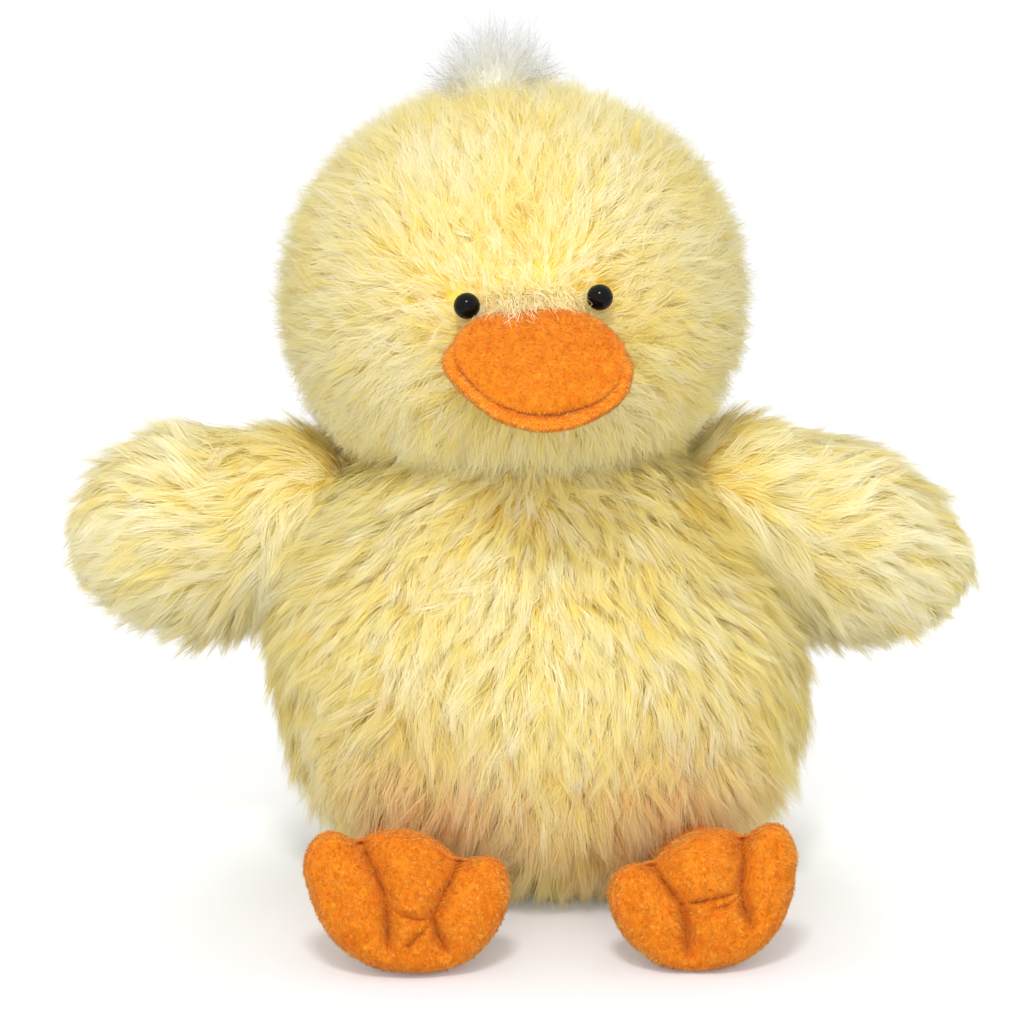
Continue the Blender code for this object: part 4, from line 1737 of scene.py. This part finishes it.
@dataclass
class Eye:
    """A glossy safety eye: a round front on a stem."""

    side: Side
    radius: float = 0.0044
    spacing: float = 0.0435
    rise: float = 0.0101
    unevenness: float = 0.0011
    shift: float = -0.001
    out: float = 0.0015  # how far the middle of the ball stands out of the CAD face
    face: tuple[float, float, float] = (0.082, 0.076, 0.0735)  # the CAD head's radii
    stem_radius: float = 0.0014
    stem_length: float = 0.0105
    cut: float = 0.45  # where the ball ends behind, as a share of its radius

    def build(self) -> None:
        """Builds the eye."""
        aside = self.side.value * self.spacing / 2 + self.shift
        up = self.rise + self.side.value * self.unevenness
        wide, deep, tall = self.face
        forward = -deep * math.sqrt(1 - (aside / wide) ** 2 - (up / tall) ** 2)
        spot = Vector((aside, forward, up))
        outward = Vector((aside / 0.164**2, forward / 0.152**2, up / 0.147**2)).normalized()
        facing = outward.to_track_quat("Z", "Y").to_matrix().to_4x4()
        turn = FACE @ Matrix.Translation(spot + outward * self.out) @ facing

        def place(units: Array) -> Array:
            """A ball in front and a stem behind.

            Args:
                units: The unit sphere's points, one row each.

            Returns:
                Their places in metres, one row each.
            """
            behind = units[:, 2] < -self.cut
            local = units * self.radius
            rear = -self.cut * self.radius + (units[:, 2] + self.cut) / 0.55 * self.stem_length
            local[:, 2] = np.where(behind, rear, local[:, 2])
            flat = np.hypot(units[:, 0], units[:, 1])
            stem = np.where(units[:, 2] < -0.93, flat / 0.37, 1) * self.stem_radius
            wide = flat * self.radius
            slim = np.where(behind, np.minimum(wide, stem) / np.maximum(wide, 1e-9), 1)
            local[:, :2] *= slim[:, None]
            return moved(local, turn)

        eye = sphere_form(56, 40, place).mesh("eye_" + self.side.word + "_gloss")
        GLOSS.dress(eye)
        seated(eye, "head", stands_for=("eye_" + self.side.word,))


@dataclass
class Foot(Velour):
    """A webbed foot: a pad with three toes, stitched between them."""

    side: Side = Side.LEFT
    outline: Outline = field(default_factory=lambda: Outline(()))
    channels: tuple[list[tuple[float, float]], ...] = ()
    creases: tuple[list[tuple[float, float]], ...] = ()
    splay: float = 9.0
    lean: float = 14.0
    thickness: float = 0.025
    middle: tuple[float, float, float] = (0.049, -0.1185, 0.0230)
    aside: float = 0.0
    channel_depth: float = 0.0090
    channel_reach: float = 12.0  # millimetres to each side, like the corners
    crease_depth: float = 0.0050
    crease_reach: float = 8.0
    floor_gap: float = 0.0012

    def matrix(self) -> Matrix:
        """The middle of the foot: +X outwards, +Y up the sole and +Z out of the sole.

        Returns:
            The place and the turn.
        """
        across, forward, up = self.middle
        place = Matrix.Translation((self.side.value * across + self.aside, forward, up))
        upright = Matrix.Rotation(math.radians(90 - self.lean), 4, "X")
        turn = Matrix.Rotation(math.radians(self.side.value * self.splay), 4, "Z")
        return place @ upright @ turn @ Matrix.Diagonal((self.side.value, 1, 1, 1))

    def dips(self, flat: Array) -> Array:
        """How deep the stitching draws the sole in at each place.

        Args:
            flat: Places on the sole in metres, one row each.

        Returns:
            The depths in metres.
        """
        deepest = np.zeros(len(flat))
        for line in self.channels:
            gap, along = distance_to_line(flat * 1000, line)
            held = np.clip(gap / self.channel_reach, 0, 1)
            fade = eased((1.08 - along) / 0.30)
            deepest = np.maximum(deepest, self.channel_depth * (1 - np.sqrt(1 - (1 - held) ** 2)) * fade)
        for line in self.creases:
            gap, along = distance_to_line(flat * 1000, line)
            held = np.clip(gap / self.crease_reach, 0, 1)
            deepest = np.maximum(deepest, self.crease_depth * (1 - np.sqrt(1 - (1 - held) ** 2)))
        return deepest

    def painted_shade_and_sheen(self, roots: Array) -> Array:
        """Painted shade, deeper along the stitching, and a painted sheen, paler on the rim.

        Args:
            roots: Where the hairs start, one row each.

        Returns:
            What comes off each root's shade.
        """
        flat = moved(roots, self.matrix().inverted())
        share = np.hypot(flat[:, 0], flat[:, 1]) / self.outline.radius(np.arctan2(flat[:, 1], flat[:, 0]))
        # painted shade in the stitching's channels, and a painted sheen on the rim
        stitched = np.where(flat[:, 2] > 0, 0.40 * np.clip(self.dips(flat[:, :2]) / 0.008, 0, 1) ** 1.5, 0)
        return stitched - 0.26 * eased((share - 0.84) / 0.12)

    def place(self, units: Array) -> Array:
        """Where the foot's points go.

        Args:
            units: The unit sphere's points, one row each.

        Returns:
            Their places in metres, one row each.
        """
        angle = np.arctan2(units[:, 1], units[:, 0])
        share = np.hypot(units[:, 0], units[:, 1])
        edge = self.outline.radius(angle) - 0.0006
        behind = units[:, 2] < 0
        rise = np.abs(units[:, 2])
        bulge = np.where(behind, 0.0010 * np.sin(np.clip(rise / 0.5, 0, 1) * math.pi), 0)
        flat = np.stack([np.cos(angle), np.sin(angle)], axis=1) * (share * edge + bulge)[:, None]
        inwards = (1 - share) * edge
        seam = 0.0006 * np.exp(-(((inwards - 0.0012) / 0.0005) ** 2))
        dips = self.dips(flat) * np.clip(rise / 0.3, 0, 1)
        front = (self.thickness / 2 - 0.0004) * rise**0.62 - dips - seam
        back = -(self.thickness / 2 - 0.0006) * rise**1.2
        local = np.stack([flat[:, 0], flat[:, 1], np.where(behind, back, front)], axis=1)
        points = moved(local, self.matrix())
        points[:, 2] = np.maximum(points[:, 2], self.floor_gap)
        return points


@dataclass
class Leg(Velour):
    """A short velour stub between the torso and a foot."""

    side: Side = Side.LEFT
    radius: float = 0.0135
    root_radius: float = 0.0165
    length: float = 0.051
    end: tuple[float, float, float] = (0.049, -0.101, 0.021)
    nap_from: float = -0.056  # behind this the belly's fur covers the stub

    def place(self, units: Array) -> Array:
        """Where the stub's points go.

        Args:
            units: The unit sphere's points, one row each.

        Returns:
            Their places in metres, one row each.
        """
        inside = units[:, 2] > 0
        radius = np.where(inside, self.root_radius, self.radius)
        points = np.stack([units[:, 0], units[:, 2], units[:, 1]], axis=1) * radius[:, None]
        points[:, 1] += np.where(inside, self.length, 0)
        return points + np.array(self.end) * (self.side.value, 1, 1)

    def napped(self, roots: Array) -> Array:
        """Nap grows where the belly's fur leaves the stub bare."""
        return roots[:, 1] < self.nap_from


RIGHT_FOOT = Outline(
    (
        (34.6, 6.4), (34.5, 11.2), (33.1, 15.8), (30.6, 19.0), (26.6, 20.4), (23.6, 20.2), (21.2, 18.5),
        (18.4, 18.3), (15.7, 19.6), (13.1, 21.2), (9.5, 22.8), (4.9, 23.9), (-0.4, 24.1), (-5.4, 22.9),
        (-9.4, 21.3), (-13.2, 18.7), (-15.8, 17.3), (-18.8, 17.2), (-21.8, 18.5), (-25.2, 19.6),
        (-28.8, 19.1), (-31.9, 16.9), (-33.8, 12.6), (-34.7, 6.7), (-34.2, 2.3), (-32.0, -4.7),
        (-28.0, -11.5), (-22.6, -16.9), (-16.8, -19.7), (-10.0, -21.8), (-4.3, -22.5), (1.4, -22.7),
        (6.2, -22.2), (11.7, -20.7), (16.9, -18.2), (21.8, -14.7), (25.9, -10.1), (29.1, -5.4),
        (31.7, 0.5),
    ),
    soften=1.6,
)  # fmt: skip
LEFT_FOOT = Outline(
    (
        (32.6, 6.2), (32.4, 11.2), (31.2, 15.6), (28.3, 18.2), (24.8, 18.6), (21.4, 17.4), (18.2, 16.4),
        (15.7, 17.4), (12.6, 19.9), (8.5, 21.7), (3.5, 22.5), (-2.0, 21.9), (-7.0, 20.4), (-11.4, 18.2),
        (-14.0, 16.9), (-17.2, 16.8), (-21.0, 17.9), (-25.2, 17.8), (-28.9, 15.9), (-31.6, 11.8),
        (-32.6, 6.7), (-32.3, 2.3), (-30.5, -4.7), (-26.3, -11.5), (-21.6, -16.9), (-16.0, -20.2),
        (-9.6, -22.4), (-4.1, -23.2), (1.3, -23.4), (5.9, -22.9), (11.2, -21.4), (16.1, -18.8),
        (20.8, -15.2), (24.7, -10.4), (27.8, -5.6), (30.2, 0.5),
    ),
    soften=1.6,
)  # fmt: skip
BILL = Outline(
    (
        (-28.3, 5.0), (-24.9, 10.5), (-22.1, 13.2), (-17.1, 15.5), (-11.6, 16.2), (-6.1, 16.9),
        (-1.2, 17.1), (5.6, 17.3), (10.2, 17.1), (15.3, 16.0), (20.8, 12.8), (24.4, 9.6), (27.1, 6.0),
        (28.3, 2.7), (28.3, -0.8), (27.1, -4.5), (24.5, -8.6), (20.8, -12.2), (15.7, -14.5), (10.2, -16.1),
        (3.3, -17.3), (-1.6, -17.1), (-8.0, -16.0), (-13.6, -13.7), (-18.1, -10.9), (-21.7, -7.3),
        (-24.9, -3.1), (-27.2, 0.5),
    ),
    soften=3.0,
)  # fmt: skip
LIP = Outline(
    (
        (-30.2, 4.2), (-31.6, 1.0), (-30.8, -2.8), (-28.0, -6.8), (-24.9, -10.5), (-20.7, -13.7),
        (-17.1, -16.9), (-11.6, -20.0), (-5.8, -21.9), (0.3, -22.9), (5.6, -22.8), (12.1, -21.4),
        (19.3, -18.2), (25.3, -14.5), (28.5, -10.9), (30.4, -5.4), (30.6, -0.8), (29.4, 2.2), (24.0, 6.0),
        (12.0, 11.0), (0.0, 12.0), (-12.0, 11.0), (-24.0, 8.0),
    ),
    soften=2.4,
)  # fmt: skip
RIGHT_CHANNELS = (
    [(17.4, 19.0), (15.9, 16.4), (11.5, 10.0), (7.1, 3.5), (5.1, -2.4), (3.9, -8.5), (2.6, -16.9)],
    [
        (-16.6, 17.0), (-15.9, 14.4), (-13.8, 7.8), (-12.2, 2.8), (-10.5, -3.0), (-12.6, -8.2),
        (-15.7, -12.5), (-18.8, -15.3),
    ],
)
RIGHT_CREASES = (
    [(5.4, -1.0), (0.2, -3.5), (-5.7, -4.0), (-10.5, -3.0)],
    [(-10.7, -4.2), (-6.9, -8.6), (-3.8, -13.0)],
)
LEFT_CHANNELS = (
    [(17.6, 18.6), (16.0, 15.2), (13.8, 7.9), (10.8, 1.2), (10.1, -5.2), (10.7, -11.5), (11.6, -14.5)],
    [
        (-16.6, 18.0), (-15.3, 15.6), (-13.4, 10.4), (-11.8, 5.8), (-9.8, 1.1), (-10.1, -4.5),
        (-11.0, -10.3), (-11.9, -15.7), (-12.9, -18.3),
    ],
)
LEFT_CREASES = (
    [(-9.6, 1.7), (-3.4, 0.5), (3.1, 0.2), (7.7, 0.1)],
    [(-0.1, -2.9), (5.1, -2.9), (9.7, -1.4)],
)


def build_inside() -> None:
    """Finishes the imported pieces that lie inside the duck."""
    finishes = {
        "neck_stuffing": FILLING,
        "shoulder_left_stuffing": FILLING,
        "shoulder_right_stuffing": FILLING,
        "pellet_pouch": PELLET_BAG,
        "eye_washer_left": WASHER,
        "eye_washer_right": WASHER,
    }
    for node, finish in finishes.items():
        finish.dress(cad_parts[node])


def main() -> None:
    """Builds the duck from the torso outwards, and the studio round it."""
    logging.basicConfig(level=logging.INFO, format="%(message)s")
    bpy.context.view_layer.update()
    Studio().build()
    build_inside()
    long_pile = Coat(
        length=0.0185, width=0.00024, per_area=2.9e6, rise_root=46, rise_tip=6, swirl=15, bend=14,
        lock_hairs=22, gather=0.82, stray=10, frizz=0.06, uneven=0.20, lock_tone=0.12, hair_tone=0.06,
        own_facing=0.13, split=0.66, stations=(0.0, 0.45, 1.0),
    )  # fmt: skip
    head_pile = Coat(
        length=0.0140, width=0.00021, per_area=3.3e6, rise_root=58, rise_tip=22, swirl=26, lock_hairs=10,
        gather=0.68, stray=14, frizz=0.08, droop=0.12, uneven=0.2, lock_tone=0.12, hair_tone=0.06,
        own_facing=0.15, split=0.66, stations=(0.0, 0.45, 1.0),
    )  # fmt: skip
    wisps = Coat(
        length=0.0182, width=0.00018, per_area=2.8e6, rise_root=66, rise_tip=62, lock_hairs=7, swirl=45,
        gather=0.5, droop=0.0, curl=0.0011, own_facing=0.1, stations=(0.0, 0.2, 0.4, 0.6, 0.8, 1.0),
    )  # fmt: skip
    brow = Coat(
        length=0.0160, width=0.00024, per_area=0.0, rise_root=84, rise_tip=40, lock_hairs=7, swirl=34,
        gather=0.66, uneven=0.3, droop=1.0, curl=0.0016, curl_turns=1.5, own_facing=0.2, split=0.66,
        stations=(0.0, 0.17, 0.34, 0.5, 0.67, 0.84, 1.0),
    )  # fmt: skip
    nap = Coat(
        length=0.0014, width=0.00024, per_area=10e6, rise_root=34, rise_tip=22, lock_hairs=4, gather=0.6,
        swirl=24, stray=12, uneven=0.2, droop=0.0, hair_tone=0.10, lock_tone=0.22, own_facing=0.35,
        stations=(0.0, 1.0),
    )  # fmt: skip
    fine_nap = replace(nap, hair_tone=0.07, lock_tone=0.13)
    Torso("torso", "torso", long_pile, ("torso_skin", "torso_stuffing"), seed=11).build()
    Head("head", "head", head_pile, ("head_skin", "head_stuffing"), seed=23).build()
    Tuft(wisps).build()
    Brow(brow).build()
    BillPad("bill_upper", "head", ("beak_upper", "beak_stuffing"), fine_nap, seed=61, outline=BILL).build()
    BillLip("bill_lip", "head", ("beak_lower",), nap, seed=67, outline=LIP, forward=-0.0042).build()
    for side, droop, tip_inset, sag, crest, seed in (
        (Side.LEFT, 14.0, -0.005, 0.0085, 0.0030, 31),
        (Side.RIGHT, 7.0, 0.003, 0.001, 0.0070, 37),
    ):
        name = "wing_" + side.word
        nodes = (name + "_skin", name + "_stuffing")
        wing = Wing(name, name, long_pile, nodes, seed, side=side, droop=droop, tip_inset=tip_inset)
        replace(wing, sag=sag, crest=crest).build()
        Eye(side).build()
    for side, outline, channels, creases, splay, aside, seed in (
        (Side.LEFT, LEFT_FOOT, LEFT_CHANNELS, LEFT_CREASES, 15.0, 0.0012, 71),
        (Side.RIGHT, RIGHT_FOOT, RIGHT_CHANNELS, RIGHT_CREASES, 9.0, -0.0022, 73),
    ):
        name = "foot_" + side.word
        nodes = (name + "_upper", name + "_sole", name + "_stuffing")
        foot = Foot(name + "_pad", name, nodes, nap, seed, side=side, outline=outline, splay=splay)
        replace(foot, aside=aside, channels=channels, creases=creases).build()
        leg = "leg_" + side.word
        Leg(leg + "_stub", "torso", (leg,), nap, seed + 10, segments=40, rings=30, side=side).build()
    Tail("tail_pad", "torso", head_pile, ("tail",), seed=41).build()


if __name__ == "__main__":
    main()
